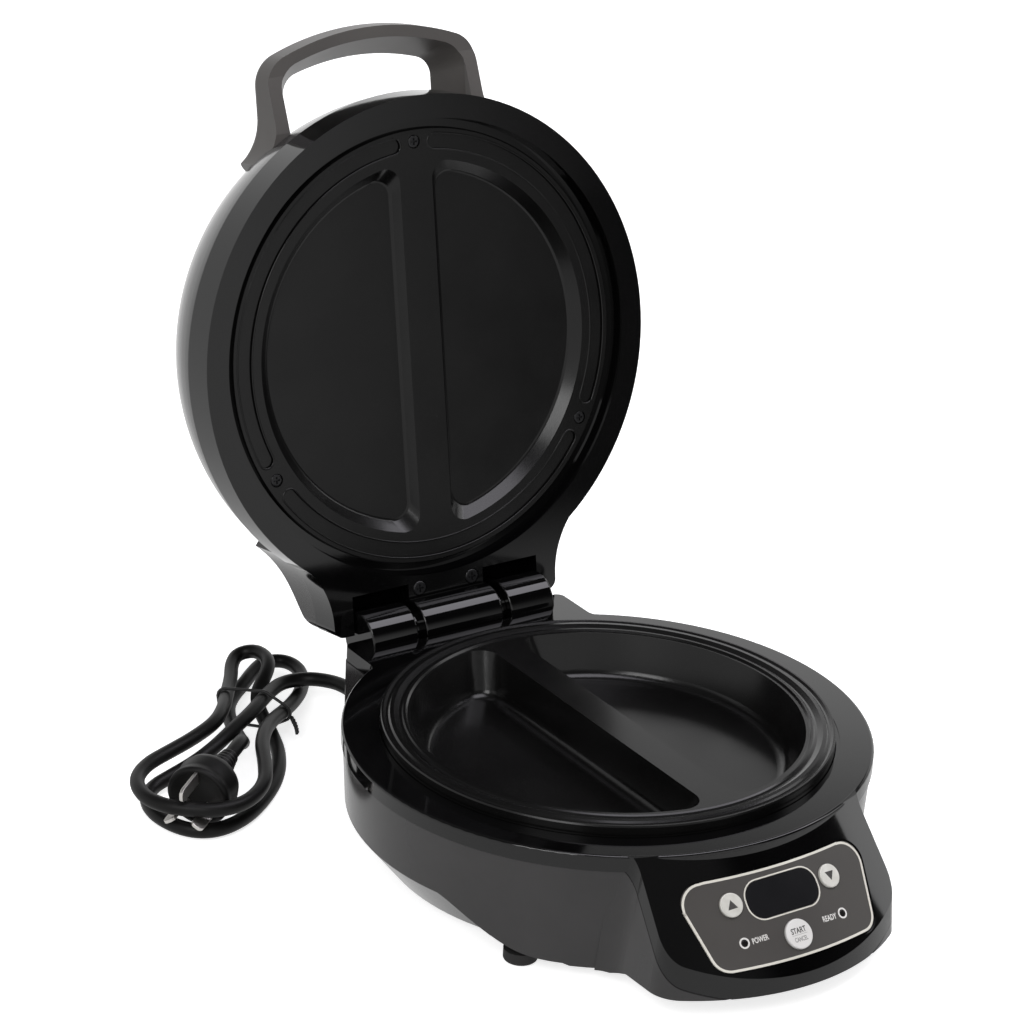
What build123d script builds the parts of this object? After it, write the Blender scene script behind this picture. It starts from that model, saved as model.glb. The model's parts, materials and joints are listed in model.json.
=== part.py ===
from build123d import *
import os
from math import asin, cos, pi, radians, sin, sqrt, tan

os.makedirs("parts", exist_ok=True)

# Electric omelette maker with a hinged lid, lid standing open. Millimetres, +Z up from the table.
# While it is modelled, the pan's axis is x = y = 0, +Y points to the hinge, and the lid is closed;
# the last lines swing the lid open and centre the appliance over the origin.

# ---- round body ----
DECK_Z = 61.0            # top of the deck round the pan
BASE_R = 118.0           # deck and lid ring
BAND = 7.2               # height of the upper cover's side wall
HOUSING_STEP = 0.8       # the lower housing stands in from the upper cover by this much
WALL_TAPER = 1.6         # the housing wall leans in by this much towards its foot
SHOULDER_Z = 25.0        # where the wall ends and the undercut begins
FLOOR_Z = 5.5            # underside of the lower housing
FLOOR_R = BASE_R - 18.0  # underside's radius
WALL = 2.4               # moulded wall
EDGE_R = 1.2             # rounding of the deck's and the lid ring's outer edges
# ---- front skirt: the wall's lower edge sweeps down from the shoulder towards the front ----
SKIRT_START_Y = -27.0    # the sweep's start, and where it has come down to the foot
SKIRT_END_Y = 34.0 - BASE_R
# ---- nose with the control panel ----
NOSE_FOOT_W = 62.6       # half width at the foot
NOSE_TOP_W = 57.6        # half width at deck level
NOSE_FOOT_REACH = BASE_R + 36.6
NOSE_TOP_REACH = BASE_R + 32.2
NOSE_CROWN_R = 100.0     # bow of the nose front in plan
NOSE_FOOT_CORNER = 16.0
NOSE_TOP_CORNER = 12.0
NOSE_FLARE = 14.0        # concave root where the nose leaves the round wall
NOSE_CLEAR = 5.0         # the nose's underside lies this much above the housing floor at the tip
PANEL_TILT = 48.2        # slope of the panel face below the horizontal
PANEL_CROWN_R = 220.0    # the face is bowed from side to side
PANEL_CROWN_Y = -BASE_R - 10.98  # a point on the crown line, the origin of the panel's own frame
PANEL_CROWN_Z = 44.31
SHIELD = 6.0             # depth of the upper cover's edge below the panel face
SEAM = 0.4               # open joint between the shield and the housing
# ---- neck and hinge ----
NECK_W = 60.6
NECK_REACH = BASE_R + 9.0
NECK_FLARE = 8.0
NECK_CORNER = 4.0
HINGE_Y = BASE_R + 11.74
HINGE_Z = 59.51
KNUCKLE_R = 13.5
KNUCKLE_IN = 25.7        # base knuckles span KNUCKLE_IN to KNUCKLE_OUT each side
KNUCKLE_OUT = 50.0
BLOCK_W = 21.2           # half length of the lid's middle knuckle
SLEEVE_R = 9.5           # collar seen in the gaps beside it
PIN_R = 3.0
PIN_FIT = 0.06           # running clearance of the pin in the lid's knuckle
PIN_SEAT = 0.02
SWING_GAP = 1.1          # room round a knuckle
LID_OPEN = 99.97         # degrees from closed to the open stop
# ---- pan ----
PAN_R = BASE_R - 17.2
PAN_FIT = 0.4
PAN_RISE = 4.3           # web and pocket edge above the deck
PAN_SKIRT = 11.0         # the pan's outer wall reaches this far below the deck
POCKET_R = PAN_R - 13.2
POCKET_FLOOR_R = POCKET_R - 7.6
WEB_W = 8.0              # half width of the web between the pockets, at its top
WEB_FOOT_W = 12.0
POCKET_CORNER = 9.0
POCKET_DEPTH = 19.3
POCKET_FILLET = 5.5
PAN_T = 3.0
# ---- lid ----
LID_GAP = 0.7            # lid ring face above the deck when closed
RING_H = 17.4
RING_OPEN_R = BASE_R - 11.2
LID_PLATE_R = RING_OPEN_R - 4.6
LID_PLATE_Z = 6.0        # plate face above the deck when closed
LID_PLATE_T = 2.0
LID_POCKET_R = LID_PLATE_R - 14.9
LID_POCKET_FLOOR_R = LID_POCKET_R - 4.8
LID_WEB_W = 8.6
LID_POCKET_DEPTH = 4.5
LID_TOP = 59.5
LID_NECK_W = 61.5
LID_NECK_REACH = BASE_R + 9.5
LID_NECK_FLARE = 44.0
LID_NECK_EDGE = BASE_R - 9.0   # rear edge of the lid's face between the hinge block and the cheeks
CHEEK_IN = 51.0          # inside of the lid's cheeks
GROOVE_IN = LID_PLATE_R - 10.2
GROOVE_OUT = LID_PLATE_R - 2.7
GROOVE_DEPTH = 1.0
PLATE_SCREW_R = LID_PLATE_R - 6.0
PLATE_SCREW_GAP = 4.5    # degrees between a screw and the groove's end
# ---- handle ----
HANDLE_Z = 38.0          # underside of the grip above the deck
HANDLE_H = 15.5
HANDLE_W = 56.0
HANDLE_REACH = BASE_R + 28.0
HANDLE_CROWN_R = 132.0
HANDLE_CORNER = 15.0
HANDLE_FLARE = 24.0
HANDLE_ROUND = 4.5
GRIP_FACE = 5.0          # width of the grip's underside
GRIP_TOP = 14.5          # width of the grip's top
# ---- controls ----
KEY_X = 25.7
KEY_S = 1.3
KEY_R = 5.2
START_S = 21.0
START_R = 6.5
LIGHT_S = 17.9
LIGHT_R = 1.5
KEY_PROUD = 0.7
KEY_FIT = 0.2
WINDOW_W = 17.9
WINDOW_TOP_S = -5.25
WINDOW_FOOT_S = 10.6
WINDOW_CORNER = 6.8
OVERLAY_T = 0.5
PANEL_SINK = 0.4
BOARD_DROP = 8.0         # top of the control board below the panel's crown
BOARD_T = 1.6
SWITCH_H = 1.0
SWITCH_ROOM = 1.1        # between a key's stem and its switch
# ---- inside and underneath ----
FOOT_R = 7.5
FOOT_X = BASE_R - 33.2
FOOT_Y = 55.1 - BASE_R
REAR_FOOT_X = 47.0
REAR_FOOT_Y = NECK_REACH - 21.0
HATCH_R = BASE_R - 44.0
COVER_R = HATCH_R + 8.0
COVER_T = 1.6
ELEMENT_R = POCKET_FLOOR_R - 18.0
ELEMENT_TUBE = 3.2
SHIELD_T = 1.2
SCREW_R = 1.5
PAN_SCREW_R = PAN_R - 5.6    # circle of the three screws under the pan
HINGE_SCREW_X = 14.45
HINGE_HEAD_R = 3.5
HINGE_SINK = 1.6         # the hinge screws' heads sit this deep in the block
HINGE_SCREW_Y = BASE_R - 5.9
SCREW_HEAD_R = 3.0
SCREW_HEAD_H = 2.0
# ---- cord ----
CORD_R = 3.4
GLAND_X = -34.0
GLAND_Z = 16.0
GLAND_L = 28.0

SEAM_Z = DECK_Z - BAND
HOUSING_R = BASE_R - HOUSING_STEP
HINGE = Axis((0, HINGE_Y, HINGE_Z), (1, 0, 0))
ROOT = {}
LID = {}


def disc(radius, low, high):
    return Pos(0, 0, (low + high) / 2) * Cylinder(radius, high - low)


def tube(outer, inner, low, high):
    return disc(outer, low, high) - disc(inner, low - 1, high + 1)


def slab(x0, x1, y0, y1, z0, z1):
    return Pos((x0 + x1) / 2, (y0 + y1) / 2, (z0 + z1) / 2) * Box(x1 - x0, y1 - y0, z1 - z0)


def spun(points):
    """Revolve a closed outline of (radius, z) points about the pan's axis."""
    return revolve(Plane.XZ * make_face(Polyline(*points, close=True)), Axis.Z)


def ridge(points, half_length):
    """A bar along X with a closed outline of (y, z) points."""
    return extrude(Plane.YZ * make_face(Polyline(*points, close=True)), half_length, both=True)


def hinge_bar(radius, x0, x1):
    return Pos((x0 + x1) / 2, HINGE_Y, HINGE_Z) * Rot(0, 90, 0) * Cylinder(radius, x1 - x0)


def lobe(half_width, reach, flare, corner, body_r, crown=None):
    """Plan of a block that grows out of a round body towards +Y, with flared roots and round corners."""
    anchor_r = body_r - 1.0
    root_y = sqrt((anchor_r + flare) ** 2 - (half_width + flare) ** 2)
    shrink = anchor_r / (anchor_r + flare)
    root = ((half_width + flare) * shrink, root_y * shrink)
    centre = Vector(half_width + flare, root_y)
    towards = (Vector(*root) - centre).normalized() + Vector(-1, 0)
    waist = centre + towards.normalized() * flare
    corner_y = reach if crown is None else reach - crown + sqrt(crown ** 2 - half_width ** 2)
    right = [Line((0, 0), root), ThreePointArc(root, (waist.X, waist.Y), (half_width, root_y))]
    right.append(Line((half_width, root_y), (half_width, corner_y)))
    if crown is None:
        tip = Line((half_width, corner_y), (-half_width, corner_y))
    else:
        tip = ThreePointArc((half_width, corner_y), (0, reach), (-half_width, corner_y))
    left = [mirror(edge, Plane.YZ) for edge in right]
    face = make_face(Curve() + right + [tip] + left)
    return fillet(face.vertices().sort_by(Axis.Y)[-2:], corner)


# ---- the panel's own frame: x across, s down the slope, n out of the face ----
TILT = radians(PANEL_TILT)
DOWN = Vector(0, -cos(TILT), -sin(TILT))
OUT = Vector(0, -sin(TILT), cos(TILT))
CROWN = Vector(0, PANEL_CROWN_Y, PANEL_CROWN_Z)


def panel_plane(x, s, lift=0.0):
    """Plane on the bowed face at (x, s): its z is the face's normal there and its y points up the slope."""
    lean = asin(x / PANEL_CROWN_R)
    normal = Vector(1, 0, 0) * sin(lean) + OUT * cos(lean)
    across = Vector(1, 0, 0) * cos(lean) - OUT * sin(lean)
    middle = CROWN - OUT * PANEL_CROWN_R
    return Plane(middle + normal * (PANEL_CROWN_R + lift) + DOWN * s, x_dir=across, z_dir=normal)


def under_face(drop):
    """Everything below the bowed panel face, or below a skin of it that lies deeper by drop."""
    return Plane(CROWN - OUT * PANEL_CROWN_R, z_dir=DOWN) * Cylinder(PANEL_CROWN_R - drop, 500)


def skin(outline, top, bottom):
    """A bowed sheet with a flat outline in (x, -s), between two depths below the face."""
    block = extrude(panel_plane(0, 0) * outline, 30, both=True)
    return block & (under_face(top) - under_face(bottom))


def panel_outline(grow=0.0):
    """Overlay outline: its top follows the deck's edge, its foot is bowed, its sides lean in."""
    top = ThreePointArc((-49 - grow, 13.2 + grow), (0, 9.1 + grow), (49 + grow, 13.2 + grow))
    foot = ThreePointArc((40.9 + grow, -27 - grow), (0, -30.4 - grow), (-40.9 - grow, -27 - grow))
    right = Line(top @ 1, foot @ 0)
    left = Line(foot @ 1, top @ 0)
    face = make_face(Curve() + [top, right, foot, left])
    return fillet(face.vertices(), 8.5 + grow)


def window_outline(grow=0.0):
    height = WINDOW_FOOT_S - WINDOW_TOP_S
    middle = -(WINDOW_FOOT_S + WINDOW_TOP_S) / 2
    return Pos(0, middle) * RectangleRounded(2 * (WINDOW_W + grow), height + 2 * grow, WINDOW_CORNER + grow)


# ---- outer forms of the base ----
def drum(inset=0.0):
    """Round wall, leaning in a little towards its foot, undercut below the shoulder."""
    lean = WALL_TAPER * (SEAM_Z - FLOOR_Z) / (SEAM_Z - SHOULDER_Z)
    low = FLOOR_Z + inset
    outline = [(0, low), (HOUSING_R - lean - inset, low), (HOUSING_R - inset, SEAM_Z), (0, SEAM_Z)]
    under_r = FLOOR_R - 0.6 * inset
    ring = [(under_r, low - 0.01), (HOUSING_R + 20, low - 0.01), (HOUSING_R + 20, SHOULDER_Z + 0.4 * inset)]
    ring.append((HOUSING_R - WALL_TAPER - 0.9 * inset + 0.02, SHOULDER_Z + 0.4 * inset))
    return spun(outline) - (spun(ring) - skirt())


def skirt():
    """Everything in front of the sweep where the wall's lower edge comes down to the front."""
    low = FLOOR_Z - 5
    third = (SKIRT_END_Y - SKIRT_START_Y) / 3
    sweep = Spline([(SKIRT_START_Y, SHOULDER_Z + 1), (SKIRT_START_Y + third, SHOULDER_Z - 4.5),
                    (SKIRT_START_Y + 2 * third, FLOOR_Z + 4.7), (SKIRT_END_Y, FLOOR_Z + 1)],
                   tangents=[(-1, 0), (-1, 0)])
    rest = Polyline((SKIRT_END_Y, FLOOR_Z + 1), (SKIRT_END_Y - 12, low), (-BASE_R - 60, low),
                    (-BASE_R - 60, SHOULDER_Z + 20), (SKIRT_START_Y, SHOULDER_Z + 20),
                    (SKIRT_START_Y, SHOULDER_Z + 1))
    return extrude(Plane.YZ * make_face(Curve() + [sweep, rest]), BASE_R + 30, both=True)


def nose(inset=0.0):
    """Front block that carries the panel, before its face is cut to the slope."""
    foot = lobe(NOSE_FOOT_W - inset, NOSE_FOOT_REACH - inset, NOSE_FLARE + inset,
                NOSE_FOOT_CORNER - inset, HOUSING_R, NOSE_CROWN_R)
    top = lobe(NOSE_TOP_W - inset, NOSE_TOP_REACH - inset, NOSE_FLARE + inset,
               NOSE_TOP_CORNER - inset, HOUSING_R, NOSE_CROWN_R)
    block = loft([Pos(0, 0, FLOOR_Z) * Rot(0, 0, 180) * foot, Pos(0, 0, DECK_Z) * Rot(0, 0, 180) * top],
                 ruled=True)
    low = FLOOR_Z + inset
    tip = low + NOSE_CLEAR
    under = [(-BASE_R - 60, FLOOR_Z - 9), (-BASE_R - 60, tip + 0.3), (-BASE_R + 10, tip - 1.5),
             (-BASE_R + 19, low), (-BASE_R + 19, FLOOR_Z - 9)]
    block = block - ridge(under, BASE_R)
    if inset:
        block = block - slab(-BASE_R, BASE_R, -BASE_R, BASE_R, FLOOR_Z - 1, low)
    return block


def neck(low, high, width=NECK_W, reach=NECK_REACH):
    return extrude(Pos(0, 0, low) * lobe(width, reach, NECK_FLARE, NECK_CORNER, HOUSING_R), high - low)


# ---- base ----
def knuckle_room(gap=SWING_GAP):
    """Where the lid's hinge block turns."""
    return hinge_bar(KNUCKLE_R + gap, -KNUCKLE_IN, KNUCKLE_IN)


def lower_housing():
    below_seam = disc(2 * BASE_R, 0, SEAM_Z)
    body = drum() + (nose() & under_face(SHIELD + SEAM) & below_seam) + neck(FLOOR_Z, SEAM_Z)
    heel = [(NECK_REACH + 1, FLOOR_Z - 1), (NECK_REACH + 1, FLOOR_Z + 3), (NECK_REACH - 3, FLOOR_Z - 1)]
    body = body - ridge(heel, BASE_R)
    body = body - (nose() - under_face(SHIELD + SEAM)) - knuckle_room()
    body = body - hinge_bar(KNUCKLE_R + 0.1, -KNUCKLE_OUT - 0.1, KNUCKLE_OUT + 0.1)
    body = body - drum(WALL) - (nose(WALL) & under_face(SHIELD - 1))
    body = body - disc(HATCH_R, FLOOR_Z - 1, FLOOR_Z + WALL + 1)
    rib_r = (PAN_R + HOUSING_R) / 2
    rib_l = HOUSING_R - PAN_R - 0.5
    for angle in (20, 70, 110, 160, 200, 235, 305, 340):
        rib = Box(rib_l, 3, rim_z() - FLOOR_Z - 14)
        rib = Rot(0, 0, angle) * Pos(rib_r - 0.6, 0, (rim_z() + FLOOR_Z + 14) / 2) * rib
        body = body + (rib & spun([(0, FLOOR_Z), (FLOOR_R, FLOOR_Z), (HOUSING_R - 2, SHOULDER_Z),
                                   (HOUSING_R - 1, SEAM_Z), (0, SEAM_Z)]))
    for x, y in foot_places():
        body = body - Pos(x, y, FLOOR_Z) * Cylinder(FOOT_R * 0.4 + 0.1, 4)
    for x, y in ring_places(COVER_R - 4, 4, 45):
        body = body - Pos(x, y, FLOOR_Z) * Cylinder(SCREW_R, 10)
    gland_hole = Pos(GLAND_X, NECK_REACH, GLAND_Z) * Rot(90, 0, 0) * Cylinder(gland_neck_r(), 14)
    return body - gland_hole


def foot_places():
    return [(FOOT_X, FOOT_Y), (-FOOT_X, FOOT_Y), (REAR_FOOT_X, REAR_FOOT_Y), (-REAR_FOOT_X, REAR_FOOT_Y)]


def ring_places(radius, count, start=0.0):
    angles = [radians(start + 360 * k / count) for k in range(count)]
    return [(radius * cos(a), radius * sin(a)) for a in angles]


def rim_z():
    """Top of the ribs, which carry the heat shield's rim and the pan's skirt."""
    return DECK_Z - PAN_SKIRT - SHIELD_T


def upper_cover():
    deck = disc(BASE_R, SEAM_Z, DECK_Z)
    deck = fillet(deck.edges().sort_by(Axis.Z)[-1:], EDGE_R)
    block = nose() & under_face(0)
    body = deck + (block - under_face(SHIELD)) + neck(SEAM_Z, DECK_Z, NECK_W - HOUSING_STEP / 2)
    inner = (nose(WALL) & under_face(WALL)) & slab(-BASE_R, BASE_R, -200, 0, 0, DECK_Z - WALL)
    collar_r = PAN_R + PAN_FIT + WALL
    hollow = tube(BASE_R - WALL, collar_r, SEAM_Z - 1, DECK_Z - WALL)
    hollow = hollow - slab(-NECK_W, NECK_W, BASE_R - 23, HINGE_Y + 10, 0, DECK_Z)
    body = body - (inner - disc(collar_r, 0, DECK_Z)) - hollow
    body = body - disc(PAN_R + PAN_FIT, SEAM_Z - 60, DECK_Z + 1)
    body = body - disc(PAN_R + 2.2, DECK_Z - 0.4, DECK_Z + 1)
    body = body + knuckles() - knuckle_room()
    body = body - hinge_bar(PIN_R + PIN_SEAT, -KNUCKLE_OUT + 3, KNUCKLE_OUT - 3)
    for angle in (40, 60, 120, 140, 200, 340):
        x, y = (BASE_R - WALL - 3.4) * cos(radians(angle)), (BASE_R - WALL - 3.4) * sin(radians(angle))
        body = body + Pos(x, y, DECK_Z - WALL - 2) * Cylinder(3, 5)
    return panel_cuts(body)


def knuckles():
    """The two outer knuckles, each on a web that rises from the neck."""
    web = [(HINGE_Y - KNUCKLE_R, SEAM_Z), (NECK_REACH, SEAM_Z), (NECK_REACH, SEAM_Z - 10),
           (HINGE_Y + KNUCKLE_R * 0.8, HINGE_Z - 4), (HINGE_Y, HINGE_Z), (HINGE_Y - KNUCKLE_R, HINGE_Z)]
    pair = Part()
    for side in (-1, 1):
        x0, x1 = sorted((side * KNUCKLE_IN, side * KNUCKLE_OUT))
        barrel = hinge_bar(KNUCKLE_R, x0, x1)
        barrel = fillet(barrel.edges().filter_by(GeomType.CIRCLE), 0.8)
        strip = slab(x0 + 0.8, x1 - 0.8, HINGE_Y - 30, HINGE_Y + 30, 0, 100)
        pair = pair + barrel + (ridge(web, KNUCKLE_OUT) & strip)
    return pair


def panel_cuts(body):
    """Recess, window, key and light holes, and the posts that carry the control board."""
    for x, s in ((38, -7), (-38, -7), (34, 23), (-34, 23)):
        post = panel_plane(0, 0) * (Pos(x, -s, -BOARD_DROP / 2 - 1) * Cylinder(2.6, BOARD_DROP - 2))
        body = body + (post & under_face(WALL / 2))
    body = body - skin(panel_outline(1.0), -5, PANEL_SINK + OVERLAY_T)
    body = body - skin(window_outline(0.15), -5, WALL + 3)
    for x, s, radius in keys():
        body = body - panel_plane(x, s) * Cylinder(radius + KEY_FIT, 12)
    for x in (-KEY_X, KEY_X):
        body = body - panel_plane(x, LIGHT_S) * Cylinder(LIGHT_R + 0.1, 12)
    return body


def keys():
    return [(-KEY_X, KEY_S, KEY_R), (KEY_X, KEY_S, KEY_R), (0, START_S, START_R)]


def panel_overlay():
    sheet = skin(panel_outline(), PANEL_SINK, PANEL_SINK + OVERLAY_T)
    sheet = sheet - skin(window_outline(0.15), -5, 5)
    for x, s, radius in keys():
        sheet = sheet - panel_plane(x, s) * Cylinder(radius + KEY_FIT, 12)
    for x in (-KEY_X, KEY_X):
        sheet = sheet - panel_plane(x, LIGHT_S) * Cylinder(LIGHT_R + 0.1, 12)
    return sheet


def display_window():
    return skin(window_outline(), PANEL_SINK - 0.1, PANEL_SINK + 1.2)


def display_module():
    height = WINDOW_FOOT_S - WINDOW_TOP_S - 4
    middle = -(WINDOW_FOOT_S + WINDOW_TOP_S) / 2
    depth = BOARD_DROP - 2.5
    case = Pos(0, middle, -BOARD_DROP + depth / 2) * Box(2 * WINDOW_W - 6, height, depth)
    return panel_plane(0, 0) * case


def switch_drop(x):
    """Depth of the board's top below the face at x."""
    return BOARD_DROP - PANEL_CROWN_R * (1 - cos(asin(x / PANEL_CROWN_R)))


def control_board():
    board = Pos(0, -8, -BOARD_DROP - BOARD_T / 2) * Box(86, 37, BOARD_T)
    for x, s, radius in keys():
        board = board + Pos(x, -s, -BOARD_DROP + SWITCH_H / 2) * Box(6, 6, SWITCH_H)
    chip = Pos(-22, -18, -BOARD_DROP - BOARD_T - 0.8) * Box(12, 12, 1.8)
    return panel_plane(0, 0) * (board + chip)


def light():
    lens = Pos(0, 0, -3.3) * Cylinder(LIGHT_R, 5.8)
    return fillet(lens.edges().sort_by(Axis.Z)[-1:], 0.5)


def key(x, radius):
    """Round cap with a flange under the cover and a stem over its switch."""
    cap_top = KEY_PROUD
    flange_top = -WALL - 0.25
    flange_low = flange_top - 1.2
    stem_low = -switch_drop(x) + SWITCH_H + SWITCH_ROOM
    cap = disc(radius, flange_low, cap_top)
    cap = fillet(cap.edges().sort_by(Axis.Z)[-1:], 0.5)
    body = cap + disc(radius + 1.0, flange_low, flange_top)
    if stem_low < flange_low - 0.1:
        body = body + disc(2.0, stem_low, flange_low + 0.5)
    return body


def half_moon(radius, web, corner):
    """Half-moon outline on the +X side of a web."""
    tip = sqrt(radius ** 2 - web ** 2)
    face = make_face(Curve() + [
        Line((web, -tip), (web, tip)),
        ThreePointArc((web, tip), (radius, 0), (web, -tip))])
    return fillet(face.vertices(), corner)


def pocket(radius, floor_r, web, floor_web, corner, depth, floor_round):
    """A half-moon pocket's space, its mouth at z = 0 and its floor below, with a rounded foot."""
    mouth = half_moon(radius, web, corner)
    floor = half_moon(floor_r, floor_web, corner)
    space = loft([mouth, Pos(0, 0, -depth) * floor], ruled=True)
    space = fillet(space.faces().sort_by(Axis.Z)[0].edges(), floor_round)
    return space + extrude(mouth, 4)


def lower_cooking_plate():
    top = DECK_Z + PAN_RISE
    foot = top - POCKET_DEPTH - PAN_T
    skirt_z = DECK_Z - PAN_SKIRT
    under_z = DECK_Z - 3.5
    beads = [(0.4, 0.7), (1.2, 0.7), (2.4, 0.1), (3.3, 0.3), (4.1, 1.0), (5.8, 1.1), (7.3, 0.5), (8.2, 0.1),
             (9.3, 0.4), (10.0, 0.9), (11.0, 0.9), (11.8, 0.0)]
    outline = [(0, foot), (POCKET_FLOOR_R - 4, foot), (POCKET_R + 4, under_z), (PAN_R - PAN_T, under_z),
               (PAN_R - PAN_T, skirt_z), (PAN_R, skirt_z), (PAN_R, top)]
    outline += [(PAN_R - inward, top + rise) for inward, rise in beads] + [(0, top)]
    plate = spun(outline)
    for x, y in pan_screw_places():
        plate = plate + Pos(x, y, (skirt_z + under_z + 1) / 2) * Cylinder(4, under_z + 1 - skirt_z)
        plate = plate - Pos(x, y, skirt_z) * Cylinder(SCREW_R, 12)
    right = Pos(0, 0, top) * pocket(POCKET_R, POCKET_FLOOR_R, WEB_W, WEB_FOOT_W, POCKET_CORNER,
                                    POCKET_DEPTH, POCKET_FILLET)
    return plate - right - mirror(right, Plane.YZ)


def pan_screw_places():
    return ring_places(PAN_SCREW_R, 3, 90)


def lower_heat_shield():
    """Dish under the pan; its rim lies on the housing's ribs and the pan's skirt stands on it."""
    rim = rim_z()
    floor = rim - 16.5
    rim_r = PAN_R + 5.2
    side_r = PAN_R - 8.8
    dish = spun([(0, floor), (side_r - 4, floor), (side_r, rim), (rim_r, rim), (rim_r, rim + SHIELD_T),
                 (side_r - 1, rim + SHIELD_T), (side_r - 5, floor + SHIELD_T), (0, floor + SHIELD_T)])
    for x, y in pan_screw_places():
        dish = dish - Pos(x, y, rim) * Cylinder(SCREW_R + 0.2, 8)
    return dish


def element(radius, height, terminal):
    """Tubular heater bent into an open ring, its cold ends turned towards the terminals."""
    sweep_angle = 316
    start = 90 + (360 - sweep_angle) / 2
    path = CenterArc((0, 0, height), radius, start, sweep_angle)
    loop = sweep(Plane(path @ 0, z_dir=path % 0) * Circle(ELEMENT_TUBE), path)
    for end in (path @ 0, path @ 1):
        low, high = sorted((height, height + terminal))
        loop = loop + Pos(end.X, end.Y, (low + high) / 2) * Cylinder(2.2, high - low)
    return loop


def thermostat():
    top = DECK_Z + PAN_RISE - POCKET_DEPTH - PAN_T
    return disc(9, top - 5, top) + disc(6.5, top - 8.4, top - 5)


def screw(length, head_r=SCREW_HEAD_R, head_h=SCREW_HEAD_H):
    """Pan-head screw whose head's seat is z = 0, its shank pointing up."""
    head = Pos(0, 0, -head_h / 2) * Cylinder(head_r, head_h)
    head = fillet(head.edges().sort_by(Axis.Z)[:1], 0.8)
    slot = Pos(0, 0, -head_h) * (Box(head_r * 1.1, 0.8, 1.6) + Box(0.8, head_r * 1.1, 1.6))
    return head - slot + Pos(0, 0, length / 2) * Cylinder(SCREW_R - 0.02, length)


def group(solids):
    return Compound(children=list(solids))


def feet():
    stand = Cylinder(FOOT_R, FLOOR_Z, align=(Align.CENTER, Align.CENTER, Align.MIN))
    stand = fillet(stand.edges().sort_by(Axis.Z)[:1], 1.2)
    stand = stand + Cylinder(FOOT_R * 0.4, FLOOR_Z + 1.9, align=(Align.CENTER, Align.CENTER, Align.MIN))
    return group([Pos(x, y, 0) * stand for x, y in foot_places()])


def bottom_cover():
    plate = disc(COVER_R, FLOOR_Z - COVER_T, FLOOR_Z)
    for x, y in board_posts():
        plate = plate + Pos(x, y, FLOOR_Z + 4 - 0.5) * Cylinder(3.2, 9)
    vent = Pos(COVER_R - 24, 0, FLOOR_Z - COVER_T / 2) * Box(22, 3, 4)
    for k in range(16):
        plate = plate - Rot(0, 0, 22.5 * k + 11.25) * vent
    for x, y in ring_places(COVER_R - 4, 4, 45):
        plate = plate - Pos(x, y, FLOOR_Z) * Cylinder(SCREW_R + 0.1, 8)
    return plate


def board_posts():
    return [(sx * 32, 15 + sy * 17) for sx in (-1, 1) for sy in (-1, 1)]


def power_board():
    """Mains board with its relay, capacitor and transformer, on the bottom cover's posts."""
    low = FLOOR_Z + 8
    board = slab(-36, 36, -6, 36, low, low + BOARD_T)
    board = board + slab(-28, -9, 0, 15, low + 1, low + 14) + slab(4, 26, 8, 28, low + 1, low + 15)
    return board + Pos(-18, 25, low + 7) * Cylinder(5, 12)


def gland_neck_r():
    return CORD_R + 3.2


def cord_gland():
    """Tapered strain relief with ribs, held in the rear wall by a groove between two flanges."""
    start = NECK_REACH - 4
    path_z = Plane((GLAND_X, start, GLAND_Z), x_dir=(1, 0, 0), z_dir=(0, 1, 0))
    body = Pos(0, 0, 3.4) * Cylinder(gland_neck_r() - 0.1, 7)
    body = body + Pos(0, 0, 5.4) * Cylinder(gland_neck_r() + 1.6, 2.6)
    cone = Pos(0, 0, 6 + (GLAND_L - 2) / 2) * Cone(gland_neck_r() - 0.4, CORD_R + 0.9, GLAND_L - 2)
    for k in range(5):
        groove_z = 10.5 + 3.6 * k
        cone = cone - (Pos(0, 0, groove_z) * (Cylinder(12, 1.4) - Cylinder(CORD_R + 0.9, 2)))
    return path_z * (body + cone)


# ---- lid, in its closed place ----
def lid_plan(inset=0.0):
    neck_face = lobe(LID_NECK_W - inset, LID_NECK_REACH - inset, LID_NECK_FLARE, 5, BASE_R)
    return Circle(BASE_R - inset) + neck_face


def knuckle_cut():
    """Room in the lid for the base's knuckles and for the hinge block between them."""
    side_room = hinge_bar(KNUCKLE_R + SWING_GAP, -CHEEK_IN, CHEEK_IN)
    ramp = [(LID_NECK_EDGE, DECK_Z - 5), (LID_NECK_EDGE, DECK_Z + LID_GAP),
            (LID_NECK_EDGE + 3.5, DECK_Z + 7), (LID_NECK_EDGE + 11, DECK_Z + 10),
            (HINGE_Y + 20, DECK_Z + 10), (HINGE_Y + 20, DECK_Z - 5)]
    return side_room + ridge(ramp, CHEEK_IN)


def block_seat(gap):
    """The hinge block's slab that lies in the lid ring."""
    low, high = DECK_Z + LID_GAP, HINGE_Z + KNUCKLE_R
    half = BLOCK_W - 0.6 + gap
    seat = slab(-half, half, RING_OPEN_R - 9.8, HINGE_Y, low - 5 * gap, high + gap)
    return seat - disc(RING_OPEN_R - gap, 0, 200)


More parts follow.
